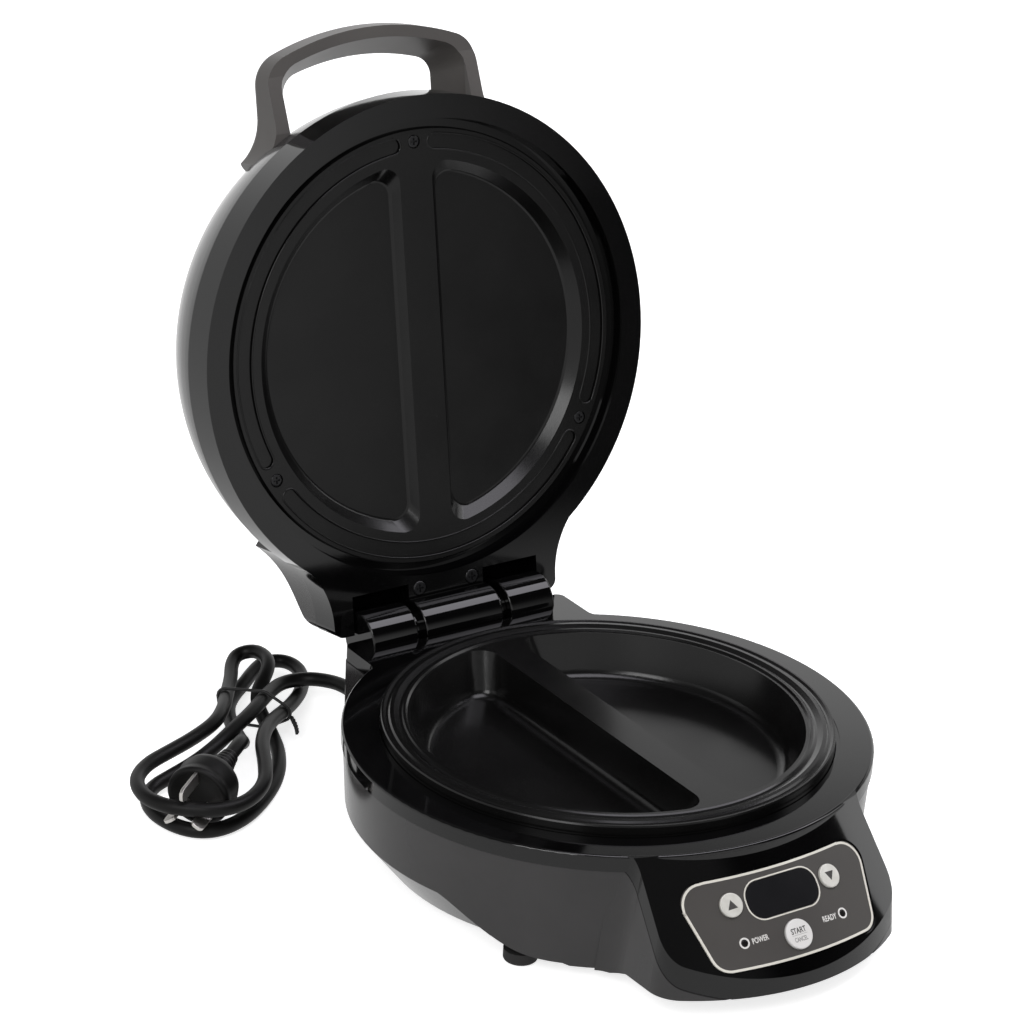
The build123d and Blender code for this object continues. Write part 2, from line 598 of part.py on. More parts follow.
def lid_ring():
    low = DECK_Z + LID_GAP
    body = extrude(Pos(0, 0, low) * lid_plan(), RING_H)
    recess = spun([(0, low - 1), (RING_OPEN_R, low - 1), (RING_OPEN_R, low),
                   (RING_OPEN_R - 1.0, DECK_Z + 8.0), (0, DECK_Z + 8.0)])
    window = disc(LID_PLATE_R - 4.5, low, low + RING_H + 1)
    inside = tube(BASE_R - WALL, RING_OPEN_R + 1.4, low + WALL, low + RING_H + 1)
    inside = inside + disc(RING_OPEN_R + 2, DECK_Z + 10.0, low + RING_H + 1)
    inside = inside - slab(-LID_NECK_W, LID_NECK_W, RING_OPEN_R - 0.8, HINGE_Y + 10, 0, 200)
    body = body - recess - window - inside
    body = body - knuckle_cut() - block_seat(0.15)
    for x, y in plate_screw_places():
        body = body - Pos(x, y, DECK_Z + 10) * Cylinder(SCREW_R, 8)
    for x, y in hinge_screw_places():
        body = body - Pos(x, y, HINGE_Z + KNUCKLE_R) * Cylinder(SCREW_R, 14)
    return body


def plate_screw_places():
    return ring_places(PLATE_SCREW_R, 3, -90)


def hinge_screw_places():
    return [(side * HINGE_SCREW_X, HINGE_SCREW_Y) for side in (-1, 1)]


def dome(inset=0.0):
    """Round crown of the lid: steep side, rolled shoulder, nearly flat top."""
    low = DECK_Z + LID_GAP + RING_H
    top = DECK_Z + LID_TOP
    outer = BASE_R - inset
    side = ThreePointArc((outer - 0.4, low), (outer - 3.4, DECK_Z + 32), (outer - 9.4, DECK_Z + 47.5))
    brow_r = outer - 26.0
    brow_drop = 2.3
    shoulder = (outer - 15.5, DECK_Z + 54.6 - 0.7 * inset)
    roll = ThreePointArc(side @ 1, shoulder, (brow_r, top - brow_drop - inset))
    crown_r = (brow_r ** 2 + brow_drop ** 2) / (2 * brow_drop)
    half_drop = crown_r - sqrt(crown_r ** 2 - (brow_r / 2) ** 2)
    crown = ThreePointArc(roll @ 1, (brow_r / 2, top - half_drop - inset), (0, top - inset))
    rest = Polyline((0, top - inset), (0, low), (BASE_R - 0.4 - inset, low))
    return revolve(Plane.XZ * make_face(Curve() + [side, roll, crown, rest]), Axis.Z)


def lid_neck():
    """Rear of the lid's shell: the flared neck, rounded down to the hinge."""
    low = DECK_Z + LID_GAP + RING_H
    plan = lobe(LID_NECK_W - 0.4, LID_NECK_REACH, LID_NECK_FLARE, 5, BASE_R - 0.4)
    block = extrude(Pos(0, 0, low) * plan, 32)
    reach = LID_NECK_REACH
    back = Spline([(reach, low - 1), (reach - 2.3, DECK_Z + 27), (reach - 10.5, DECK_Z + 35),
                   (reach - 22.5, DECK_Z + 40), (reach - 37.5, DECK_Z + 44)])
    rest = Polyline((reach - 37.5, DECK_Z + 44), (40, DECK_Z + 46), (40, low - 1), (reach, low - 1))
    return block & extrude(Plane.YZ * make_face(Curve() + [back, rest]), BASE_R, both=True)


def lid_shell():
    body = dome() + lid_neck()
    body = body - dome(WALL) - knuckle_cut()
    return body


def hinge_block():
    low = DECK_Z + LID_GAP
    barrel = hinge_bar(KNUCKLE_R, -BLOCK_W, BLOCK_W)
    barrel = fillet(barrel.edges().filter_by(GeomType.CIRCLE), 0.8)
    body = block_seat(0) + barrel + hinge_bar(SLEEVE_R, -KNUCKLE_IN + 0.3, KNUCKLE_IN - 0.3)
    for x, y in hinge_screw_places():
        body = body - Pos(x, y, low) * Cylinder(HINGE_HEAD_R + 0.2, 2 * HINGE_SINK)
        body = body - Pos(x, y, low) * Cylinder(SCREW_R + 0.1, 40)
    return body - hinge_bar(PIN_R + PIN_FIT, -KNUCKLE_IN, KNUCKLE_IN)


def hinge_pin():
    pin = hinge_bar(PIN_R, -KNUCKLE_OUT + 4, KNUCKLE_OUT - 4)
    return chamfer(pin.edges().filter_by(GeomType.CIRCLE), 0.5)


def hinge_screws():
    seat = DECK_Z + LID_GAP + HINGE_SINK
    one = Pos(0, 0, seat) * screw(14.5, HINGE_HEAD_R, HINGE_SINK + 0.3)
    return group([Pos(x, y, 0) * one for x, y in hinge_screw_places()])


def groove_arc(start, end):
    """A shallow arc groove with round ends, from angle start to angle end."""
    middle = (GROOVE_IN + GROOVE_OUT) / 2
    half = (GROOVE_OUT - GROOVE_IN) / 2
    angles = [radians(start + (end - start) * k / 4) for k in range(5)]
    rim = [(1.4 * GROOVE_OUT * cos(angle), 1.4 * GROOVE_OUT * sin(angle)) for angle in angles]
    wedge = Polyline((0, 0), *rim, close=True)
    face = (Circle(GROOVE_OUT) - Circle(GROOVE_IN)) & make_face(wedge)
    for angle in (start, end):
        face = face + Pos(middle * cos(radians(angle)), middle * sin(radians(angle))) * Circle(half)
    return face


def upper_cooking_plate():
    """Lid plate: two shallow half-moon pockets that bulge into the lid, and arc grooves between screws."""
    face_z = DECK_Z + LID_PLATE_Z
    back_z = face_z + LID_PLATE_T
    plate = disc(LID_PLATE_R, face_z, back_z)
    plate = chamfer(plate.edges().sort_by(Axis.Z)[:1], 0.6)
    space = pocket(LID_POCKET_R, LID_POCKET_FLOOR_R, LID_WEB_W, LID_WEB_W + 3.2, 8.0, LID_POCKET_DEPTH, 1.8)
    shell_out = pocket(LID_POCKET_R + 2, LID_POCKET_FLOOR_R + 2, LID_WEB_W - 2, LID_WEB_W + 1.2, 8.0,
                       LID_POCKET_DEPTH + LID_PLATE_T, 2.5)
    space = Pos(0, 0, face_z) * Rot(180, 0, 0) * space
    shell_out = (Pos(0, 0, face_z) * Rot(180, 0, 0) * shell_out) & disc(BASE_R, face_z + 0.5, face_z + 30)
    plate = plate + shell_out + mirror(shell_out, Plane.YZ)
    plate = plate - space - mirror(space, Plane.YZ)
    for k in range(3):
        start = -90 + 120 * k + PLATE_SCREW_GAP + 2
        face = groove_arc(start, start + 120 - 2 * PLATE_SCREW_GAP - 4)
        plate = plate - extrude(Pos(0, 0, face_z - 1) * face, 1 + GROOVE_DEPTH)
    for x, y in plate_screw_places():
        plate = plate - Pos(x, y, face_z) * Cylinder(SCREW_HEAD_R + 0.2, 2.2)
        plate = plate - Pos(x, y, face_z) * Cylinder(SCREW_R + 0.1, 8)
    return plate


def plate_screws():
    seat = DECK_Z + LID_PLATE_Z + 1.1
    one = Pos(0, 0, seat) * screw(7.5, SCREW_HEAD_R, 1.0)
    return group([Pos(x, y, 0) * one for x, y in plate_screw_places()])


def lid_handle():
    low, high = DECK_Z + HANDLE_Z, DECK_Z + HANDLE_Z + HANDLE_H
    plan = lobe(HANDLE_W, HANDLE_REACH, HANDLE_FLARE, HANDLE_CORNER, BASE_R - 5.0, HANDLE_CROWN_R)
    block = extrude(Pos(0, 0, low - 8) * Rot(0, 0, 180) * plan, high - low + 8)
    top_edges = block.faces().sort_by(Axis.Z)[-1].edges()
    block = fillet(top_edges.filter_by(lambda e: e.center().Y < 28.0 - BASE_R), HANDLE_ROUND)
    front = HANDLE_REACH + 24
    under = [(-front, low - 20), (-front, low + 1.0), (-BASE_R - 11, low + 0.6), (-BASE_R + 14, low - 6),
             (-BASE_R + 58, low - 7.5), (-BASE_R + 58, low - 20)]
    block = block - ridge(under, BASE_R)
    mouth = handle_gap(GRIP_FACE)
    roof = handle_gap(GRIP_TOP)
    gap = loft([Pos(0, 0, low - 10) * mouth, Pos(0, 0, low) * mouth], ruled=True)
    gap = gap + loft([Pos(0, 0, low) * mouth, Pos(0, 0, high + 0.01) * roof], ruled=True)
    return block - gap - dome() - disc(BASE_R - 18, 0, 200)


def handle_gap(inset):
    """Outline of the finger opening, its grip side a set distance inside the handle's outline."""
    half = HANDLE_W - inset - 1.6
    crown = HANDLE_CROWN_R - inset
    reach = HANDLE_REACH - inset
    corner_y = reach - crown + sqrt(crown ** 2 - half ** 2)
    grip = ThreePointArc((-half, -corner_y), (0, -reach), (half, -corner_y))
    back = BASE_R - 58
    sides = Polyline((half, -corner_y), (half, -back), (-half, -back), (-half, -corner_y))
    face = make_face(Curve() + [grip, sides])
    return fillet(face.vertices().sort_by(Axis.Y)[:2], HANDLE_CORNER - 0.35 * inset)


def upper_heat_shield():
    low = DECK_Z + 20.5
    rim = DECK_Z + 10.0
    rim_r = RING_OPEN_R - 2.3
    side_r = LID_PLATE_R - 3.2
    dish = spun([(0, low), (side_r - 7, low), (side_r, rim), (rim_r, rim), (rim_r, rim + SHIELD_T),
                 (side_r + 1, rim + SHIELD_T), (side_r - 6, low + SHIELD_T), (0, low + SHIELD_T)])
    for x, y in plate_screw_places():
        dish = dish - Pos(x, y, rim + 4) * Cylinder(SCREW_R + 0.5, 12)
    return dish


# ---- cord on the table: a short run to the tied hank ----
CORD_ROUTE = [(GLAND_X, NECK_REACH + GLAND_L, GLAND_Z), (GLAND_X, 166.0, GLAND_Z), (-35.5, 178.0, 14.2),
              (-42.5, 188.5, 12.8), (-55.0, 190.5, 12.8), (-66.0, 183.0, 14.0)]
HANK = [(-21, 206), (-20, 222), (-26, 235), (-42, 238), (-58, 237), (-70, 228), (-81, 211), (-92, 195),
        (-102, 177), (-111, 166), (-126, 158), (-142, 153.5), (-158, 148), (-170.5, 135), (-174.8, 115),
        (-170.5, 98.5), (-160, 87.5), (-147, 83), (-129, 85), (-108, 97), (-91, 118), (-80, 138), (-73, 156),
        (-60, 167), (-41, 181), (-28, 196)]
HANK_LOW = 0.4
HANK_HIGH = 20.6
TIE_AT = (-80.0, 182.0)
TIE_TURN = 57.0
TIE_SPAN = 34.0
TIE_L = 3.6
PLUG_FACE = (-149.5, 103.3, 15.5)   # centre of the face that the blades stand on
PLUG_TURN = 217.0                   # the blades point this way, seen from above, and a little down
PLUG_TILT = 6.0
PLUG_R = 15.0
PLUG_L = 16.0
RELIEF_L = 20.0
BLADE = (6.3, 1.6, 17.0)


def corner_radii(points):
    radii = []
    for before, here, after in zip(points, points[1:], points[2:]):
        first = Vector(*here) - Vector(*before)
        second = Vector(*after) - Vector(*here)
        turn = radians(first.get_angle(second))
        radii.append(0.45 * min(first.length, second.length) / tan(turn / 2))
    return radii


def mains_cord():
    radii = corner_radii(CORD_ROUTE)
    path = FilletPolyline(*CORD_ROUTE, radius=radii)
    tube_solid = sweep(Plane(path @ 0, z_dir=path % 0) * Circle(CORD_R), path)
    area = pi * CORD_R ** 2
    print("cord radii", [round(r, 1) for r in radii], "volume ratio",
          round(tube_solid.volume / (area * path.length), 5))
    return tube_solid - hank_block()


def hank_block():
    return extrude(Pos(0, 0, HANK_LOW) * make_face(Spline(*HANK, periodic=True)), HANK_HIGH - HANK_LOW)


def plug_frame():
    """Origin at the centre of the plug's face, z along the blades, y up."""
    turn, tilt = radians(PLUG_TURN), radians(PLUG_TILT)
    along = Vector(cos(turn) * cos(tilt), sin(turn) * cos(tilt), -sin(tilt))
    return Plane(PLUG_FACE, x_dir=Vector(0, 0, 1).cross(along), z_dir=along)


def plug_form(grow=0.0):
    """Round moulded body with a tapered relief behind it."""
    back = -PLUG_L - 4
    tail = back - RELIEF_L + 4
    outline = Polyline((0, tail), (CORD_R + 0.9 + grow, tail), (CORD_R + 3.4 + grow, back),
                       (CORD_R + 6.5 + grow, back), (PLUG_R + grow, 4 - PLUG_L), (PLUG_R + grow, 0),
                       (0, 0), close=True)
    return revolve(Plane.XZ * make_face(outline), Axis.Z)


def plug_body():
    body = plug_form()
    body = fillet(body.edges().filter_by(GeomType.CIRCLE).sort_by(Axis.Z)[-1:], 1.5)
    return plug_frame() * body


def blade_places():
    """Two live blades set at an angle, and the earth blade."""
    return [(-6.8, -3.95, -60), (6.8, -3.95, 60), (0.0, 10.3, 0)]


def plug_blades(grow=0.0):
    thick, wide, length = BLADE[1] + 2 * grow, BLADE[0] + 2 * grow, BLADE[2] + grow
    return group([plug_frame() * (Pos(x, y, length / 2) * Rot(0, 0, turn) * Box(thick, wide, length))
                  for x, y, turn in blade_places()])


def tie_frame():
    return Pos(TIE_AT[0], TIE_AT[1], 0) * Rot(0, 0, TIE_TURN)


def tie_space(grow, length):
    """The waist that the tie squeezes the hank to."""
    return tie_frame() * Pos(0, 0, (HANK_LOW + HANK_HIGH) / 2) * Box(
        length, TIE_SPAN + 2 * grow, HANK_HIGH - HANK_LOW + 2 * grow)


def cord_tie():
    return tie_space(HANK_LOW, TIE_L) - tie_space(0, TIE_L + 1)


def cord_hank():
    hank = hank_block() - plug_frame() * plug_form(0.4)
    for blade in plug_blades(0.4).solids():
        hank = hank - blade
    waist = tie_frame() * Box(TIE_L + 0.8, 120, 80) - tie_space(0, TIE_L + 2)
    return hank - waist


ROOT["lower_housing"] = lower_housing()
ROOT["upper_cover"] = upper_cover()
ROOT["bottom_cover"] = bottom_cover()
ROOT["bottom_screws"] = group([Pos(x, y, FLOOR_Z - COVER_T) * screw(7)
                               for x, y in ring_places(COVER_R - 4, 4, 45)])
ROOT["feet"] = feet()
ROOT["lower_cooking_plate"] = lower_cooking_plate()
ROOT["pan_screws"] = group([Pos(x, y, rim_z()) * screw(7) for x, y in pan_screw_places()])
ROOT["lower_heating_element"] = element(ELEMENT_R, DECK_Z + PAN_RISE - POCKET_DEPTH - PAN_T - ELEMENT_TUBE,
                                        -3.8)
ROOT["lower_heat_shield"] = lower_heat_shield()
ROOT["thermostat"] = thermostat()
ROOT["panel_overlay"] = panel_overlay()
ROOT["display_window"] = display_window()
ROOT["display_module"] = display_module()
ROOT["control_board"] = control_board()
ROOT["power_board"] = power_board()
ROOT["power_light"] = panel_plane(-KEY_X, LIGHT_S) * light()
ROOT["ready_light"] = panel_plane(KEY_X, LIGHT_S) * light()
ROOT["up_button"] = panel_plane(-KEY_X, KEY_S) * key(-KEY_X, KEY_R)
ROOT["down_button"] = panel_plane(KEY_X, KEY_S) * key(KEY_X, KEY_R)
ROOT["start_button"] = panel_plane(0, START_S) * key(0, START_R)
ROOT["hinge_pin"] = hinge_pin()
ROOT["cord_gland"] = cord_gland()
ROOT["mains_cord"] = mains_cord()
ROOT["plug_body"] = plug_body()
ROOT["plug_blades"] = plug_blades()
ROOT["cord_hank"] = cord_hank()
ROOT["cord_tie"] = cord_tie()

LID["lid_ring"] = lid_ring()
LID["lid_shell"] = lid_shell()
LID["upper_cooking_plate"] = upper_cooking_plate()
LID["plate_screws"] = plate_screws()
LID["hinge_block"] = hinge_block()
LID["hinge_screws"] = hinge_screws()
LID["lid_handle"] = lid_handle()
LID["upper_heating_element"] = element(ELEMENT_R, DECK_Z + LID_PLATE_Z + LID_POCKET_DEPTH + LID_PLATE_T
                                       + ELEMENT_TUBE, 3.2)
LID["upper_heat_shield"] = upper_heat_shield()

CORD_NODES = ("cord_gland", "mains_cord", "cord_hank", "cord_tie", "plug_body", "plug_blades")
placed = dict(ROOT)
for name, shape in LID.items():
    placed[name] = shape.rotate(HINGE, -LID_OPEN)
box = Compound([s for n, s in placed.items() if n not in CORD_NODES]).bounding_box()
shift = -(box.min.Y + box.max.Y) / 2
print("shift", round(shift, 4), "box", box)
for name, shape in placed.items():
    export_step(Pos(0, shift, 0) * shape, f"parts/{name}.step")
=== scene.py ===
"""Looks of the omelette maker: finishes, printed panel, mains cord, light and camera
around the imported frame."""
import json
from math import asin, cos, pi, radians, sin, sqrt, tan

import bmesh
import bpy
from mathutils import Matrix, Vector


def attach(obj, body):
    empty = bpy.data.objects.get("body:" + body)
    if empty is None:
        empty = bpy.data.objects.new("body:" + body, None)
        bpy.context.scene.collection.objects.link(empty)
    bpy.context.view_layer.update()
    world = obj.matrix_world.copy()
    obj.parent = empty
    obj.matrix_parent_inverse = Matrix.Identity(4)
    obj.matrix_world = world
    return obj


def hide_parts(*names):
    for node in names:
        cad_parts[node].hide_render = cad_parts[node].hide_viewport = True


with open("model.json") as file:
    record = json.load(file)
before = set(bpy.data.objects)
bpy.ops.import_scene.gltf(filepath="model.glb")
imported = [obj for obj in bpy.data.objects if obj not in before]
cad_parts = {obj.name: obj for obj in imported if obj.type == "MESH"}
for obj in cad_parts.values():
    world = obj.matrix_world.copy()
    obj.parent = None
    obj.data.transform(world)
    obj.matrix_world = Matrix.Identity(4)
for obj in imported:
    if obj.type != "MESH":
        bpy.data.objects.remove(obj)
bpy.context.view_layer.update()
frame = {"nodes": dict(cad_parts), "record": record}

MM = 0.001
SHIFT_Y = -38.3499       # the cooking plate's axis lies this far from the frame's origin along Y
UP = Vector((0.0, 0.0, 1.0))

# Places are in millimetres from the cooking plate's axis and the ground.
# ---- deck ----
DECK_R = 118.0
DECK_Z = 61.0
DECK_EDGE_R = 1.2        # rounding of its outer edge
BEAD_PROUD = 0.04        # the bead that smooths the edge over the nose stands out this much
BEAD_HALF = 32.0         # degrees to each side of the front
BEAD_STEP = 0.5
BEAD_ROUNDNESS = 6

# ---- lid ----
OPEN = radians(99.97)
HINGE_Y = 129.74
HINGE_Z = 59.51
LID_FACE_Z = 67.0        # closed, the cooking plate faces down at this height
GROOVE_IN = 92.0         # radii of the plate's arc grooves
GROOVE_OUT = 99.5
GROOVE_GAP = 6.5         # degrees from a screw to a groove's end
GROOVE_COUNT = 3
GROOVE_RIM_R = 0.45
GROOVE_RIM_SINK = 0.22   # depth of the rim's line in the plate
GROOVE_SIDE_STEPS = 60
GROOVE_END_STEPS = 12
LID_TOP_Z = 120.5
LID_CROWN_R = 1841.15
SKIN_R = 34.0            # smooth skin over the crown's middle; its rim is sunk below the crown
SKIN_LEVEL_R = 20.0      # from here outward it dips
SKIN_LIFT = 0.012
SKIN_DIP = 0.09
SKIN_SIDE = 0.5
SKIN_RINGS = 17
SKIN_STEPS = 96

# ---- control panel: a bowed face; x runs across, y up its slope ----
TILT = radians(48.2)
CROWN_R = 220.0
CROWN = Vector((0.0, -128.98, 44.31))
ACROSS = Vector((1.0, 0.0, 0.0))
DOWN = Vector((0.0, -cos(TILT), -sin(TILT)))
OUT = Vector((0.0, -sin(TILT), cos(TILT)))
FACE = -0.4              # lift of the overlay's top, which lies in the cover
KEY_TOP = 0.7
KEY_X = 25.7
KEY_Y = -1.3
START_Y = -21.0
LIGHT_Y = -17.9
BORDER_TOP = (48.6, 12.9)
BORDER_FOOT = (40.6, -26.7)
BORDER_RADII = (9.0, 9.0, 8.5, 8.5)
BORDER_BOWS = (3.9, 0.0, -3.2, 0.0)
BORDER_HALF = 0.52       # half the printed line's width
BORDER_LIFT = 0.10
BORDER_ROOT = 0.48       # it goes through nearly all of the overlay
WINDOW_X = 18.6
WINDOW_TOP = 5.95
WINDOW_FOOT = -11.3
WINDOW_RADIUS = 7.5
WINDOW_HALF = 0.30
WINDOW_LIFT = 0.12
RING_R = 2.0
RING_HALF = 0.36
RING_LIFT = 0.08
RING_STEPS = 48
SIDE_STEPS = 40          # of a printed outline's side, and of its corner
CORNER_STEPS = 10
SIDE_START_GAP = 0.3     # between a corner's arc and the side's nearest points
SIDE_END_GAP = 1.5
PRINT_ROOT = 0.05        # a printed line starts this far inside the overlay
WORD_LIFT = 0.02
WORD_H = 2.5
POWER_WORD = (-18.1, 8.0)    # middle and width
READY_WORD = (18.3, 7.6)
LABEL_DROP = 0.3         # the words' middles lie this far below the lights'
MARK_HALF = 2.35         # half the base of an arrow mark
MARK_TIP = 2.15
MARK_BASE = 0.85         # its base lies this share of MARK_TIP behind the middle
MARK_T = 0.03
START_LIFT = 0.015
START_WORD_Y = 1.5
START_WORD_W = 7.6
CANCEL_WORD_Y = -2.3
CANCEL_WORD_W = 6.6
CANCEL_WORD_H = 2.0
RULE_HALF = 3.9
RULE_Y = (-0.42, -0.28)
RULE_T = 0.02
LETTER_T = 0.01          # of a letter of size 1
LETTER_WEIGHT = 0.022
LETTER_DEPTH = 1.5

# ---- cord, plug and tie ----
CORD_R = 3.4
CORD_ROUNDNESS = 8
CORD_FINENESS = 14
ROUTE = [
    (-34.0, 155.0, 16.0), (-34.0, 166.0, 16.0), (-35.5, 178.0, 14.2), (-42.5, 188.5, 12.8),
    (-55.0, 190.5, 12.8), (-66.0, 183.0, 14.0),
    # first pass of the tie, then the lower big loop on the table
    (-77.5, 171.5, 16.5), (-89.6, 161.2, 17.2), (-104.1, 151.6, 16.8), (-117.9, 143.9, 14.5),
    (-130.7, 140.5, 11.0), (-142.0, 141.0, 7.0), (-152.5, 140.0, 4.4), (-160.0, 132.5, 3.8),
    (-163.5, 119.5, 3.8), (-161.4, 104.9, 3.8), (-154.9, 94.3, 3.8), (-144.4, 90.5, 3.8),
    (-129.5, 94.5, 3.8), (-112.6, 106.3, 3.8), (-96.5, 122.3, 3.8), (-85.1, 140.7, 4.0),
    (-79.0, 157.8, 4.4), (-75.4, 171.6, 5.4), (-72.6, 183.4, 7.2),
    # through the tie and round the first small loop
    (-68.3, 191.5, 10.6), (-61.0, 197.0, 14.2), (-54.5, 204.5, 16.2), (-51.5, 213.5, 16.2),
    (-52.5, 222.8, 15.4), (-59.8, 226.5, 13.4), (-66.3, 220.5, 11.8), (-73.5, 208.0, 11.6),
    (-85.0, 191.5, 13.2), (-96.3, 174.1, 16.3),
    # the upper big loop, over the blades
    (-108.1, 161.0, 17.2), (-124.4, 153.0, 16.4), (-139.7, 148.5, 15.2), (-154.5, 142.8, 15.0),
    (-166.0, 131.8, 15.0), (-170.2, 115.0, 15.5), (-166.5, 102.3, 16.0), (-158.5, 94.0, 16.0),
    (-147.9, 87.0, 16.0), (-132.6, 87.4, 16.0), (-116.9, 98.6, 16.2), (-106.9, 116.8, 16.5),
    (-99.4, 133.2, 16.5), (-89.1, 147.5, 15.5), (-77.2, 159.5, 12.8), (-62.5, 172.0, 9.0),
    # the second small loop, flat on the table
    (-46.5, 188.0, 5.6), (-36.5, 202.0, 4.8), (-32.4, 214.5, 5.2), (-35.5, 224.0, 5.6),
    (-45.2, 227.0, 5.4), (-55.5, 220.0, 4.4), (-64.0, 212.5, 4.0), (-74.0, 204.5, 4.0),
    (-83.5, 193.5, 4.2),
    # under the tie and up into the plug
    (-90.5, 177.5, 5.0), (-95.5, 161.0, 6.2), (-100.0, 149.0, 9.8), (-106.0, 140.0, 16.5),
    (-110.8, 132.6, 20.6), (-120.9, 124.9, 19.3),
]
PLUG_FACE = Vector((-149.5, 103.3, 15.5))
PLUG_TURN = radians(217.0)
PLUG_TILT = radians(6.0)
PLUG_R = 15.0
PLUG_L = 16.0
PLUG_STEPS = 64
RELIEF_L = 20.0
RIDGES = 5
RIDGE_PITCH = 2.7
RIDGE_GROWTH = 0.48
PIN_W = 6.3
PIN_T = 1.6
PIN_L = 17.0
PIN_ROOT = 0.8           # length inside the plug's face
PIN_BEVEL = 0.25
PINS = ((-6.8, -3.95, -60.0), (6.8, -3.95, 60.0), (0.0, 10.3, 0.0))   # place and turn, earth last
TIE_AT = Vector((-79.0, 177.5, 0.0))
TIE_TURN = radians(40.0)
TIE_ALONG = Vector((cos(TIE_TURN), sin(TIE_TURN), 0.0))
TIE_ASIDE = Vector((-sin(TIE_TURN), cos(TIE_TURN), 0.0))
TIE_HALF = 40.0          # cord further aside than this isn't tied
TIE_R = 0.75
TIE_ROUNDNESS = 4
TIE_PASS_STEPS = 16
TIE_REACH = CORD_R + TIE_R + 0.15     # from a cord's line to the tie's
TIE_LOWEST = TIE_R + 0.1
KNOT_OUT = 0.6
KNOT_Z = 9.0
TAIL_STEPS = 25
TAIL_TURNS = 2.6
TAIL_SWING = 0.72        # radius of the twisted ends, and at their first points
TAIL_ROOT_SWING = 0.4
TAIL_OUT = 5.0
TAIL_BULGE = 0.6
TAIL_DROP = 4.6
TAIL_ALONG = 5.5

# ---- light, in metres, and camera ----
FLOOR_HALF = 6.0
FLOOR_DROP = 0.0002
FLOOR_WHITE = 0.82
FLOOR_GLOW = 0.75
SKY_FILL = 0.40
TABLE_PAINTED_GLOW = (0.72, 0.05)             # in reflections, painted light on the table: its glow near the object and far away
TABLE_EDGE = (0.30, 0.95)             # between these distances it fades
SWEEP = (0.0, 1.25)                   # the white sweep behind, from none to full
SWEEP_SIDE = (-0.05, 0.50)            # over these y of the direction
SWEEP_TOP = (0.42, 0.50)              # its upper edge, over these z
SWEEP_REST = 0.12                     # what is left above it
SWEEP_LEFT = 0.55                     # and at the left, between these x
SWEEP_DIM = (-0.45, 0.30)
WALL = (0.06, 0.78)                   # the dim room and the lit wall at the front left
WALL_NORMAL = (0.848, 0.530, 0.0)     # the wall is on the side that this points away from
WALL_SIDE = (0.05, -0.09)
WALL_TOP = (0.30, 0.60)
WALL_REST = 0.15
CAMERA_AT = Vector((-0.84589, -1.18798, 0.78487))
YAW = radians(-34.461)
PITCH = radians(23.569)
ROLL = radians(2.756)
LENS = 126.706
SENSOR = 36.0
CLIP_END = 30.0


def row(point):
    """A point in millimetres from the plate's axis, as metres in the frame."""
    return Vector((point[0] * MM, (point[1] + SHIFT_Y) * MM, point[2] * MM))


# ---- materials ----
NOISE_RANGE = (0.3, 0.7)  # where a noise texture's values mostly lie
TONE_DETAIL = 4.0
ROUGH_DETAIL = 5.0
GRAIN_DETAIL = 2.0
SPECK_DETAIL = 1.0
SPECK_EDGE = 0.05


def tree_of(name):
    material = bpy.data.materials.new(name)
    material.use_nodes = True
    nodes = material.node_tree.nodes
    links = material.node_tree.links
    return material, nodes, links, nodes["Principled BSDF"]


def noise(nodes, links, coords, scale, detail, stretch=None):
    texture = nodes.new("ShaderNodeTexNoise")
    texture.inputs["Scale"].default_value = scale
    texture.inputs["Detail"].default_value = detail
    source = coords.outputs["Object"]
    if stretch:
        mapping = nodes.new("ShaderNodeMapping")
        mapping.inputs["Scale"].default_value = stretch
        links.new(source, mapping.inputs["Vector"])
        source = mapping.outputs["Vector"]
    links.new(source, texture.inputs["Vector"])
    return texture.outputs["Fac"]


def ramp(nodes, links, source, low, high, first, second):
    """Colour from first to second as source goes from low to high."""
    node = nodes.new("ShaderNodeValToRGB")
    node.color_ramp.elements[0].position = low
    node.color_ramp.elements[0].color = (*first, 1.0)
    node.color_ramp.elements[1].position = high
    node.color_ramp.elements[1].color = (*second, 1.0)
    links.new(source, node.inputs["Fac"])
    return node.outputs["Color"]


def spread(nodes, links, source, low, high):
    node = nodes.new("ShaderNodeMapRange")
    node.inputs["From Min"].default_value = NOISE_RANGE[0]
    node.inputs["From Max"].default_value = NOISE_RANGE[1]
    node.inputs["To Min"].default_value = low
    node.inputs["To Max"].default_value = high
    links.new(source, node.inputs["Value"])
    return node.outputs["Result"]


def speckled(nodes, links, coords, colour, scale, threshold, speck):
    """Colour with small dots of another where fine noise passes the threshold."""
    fine = noise(nodes, links, coords, scale, SPECK_DETAIL)
    dots = ramp(nodes, links, fine, threshold, threshold + SPECK_EDGE, (0.0, 0.0, 0.0), (1.0, 1.0, 1.0))
    mixer = nodes.new("ShaderNodeMix")
    mixer.data_type = "RGBA"
    links.new(dots, mixer.inputs["Factor"])
    links.new(colour, mixer.inputs["A"])
    mixer.inputs["B"].default_value = (*speck, 1.0)
    return mixer.outputs["Result"]


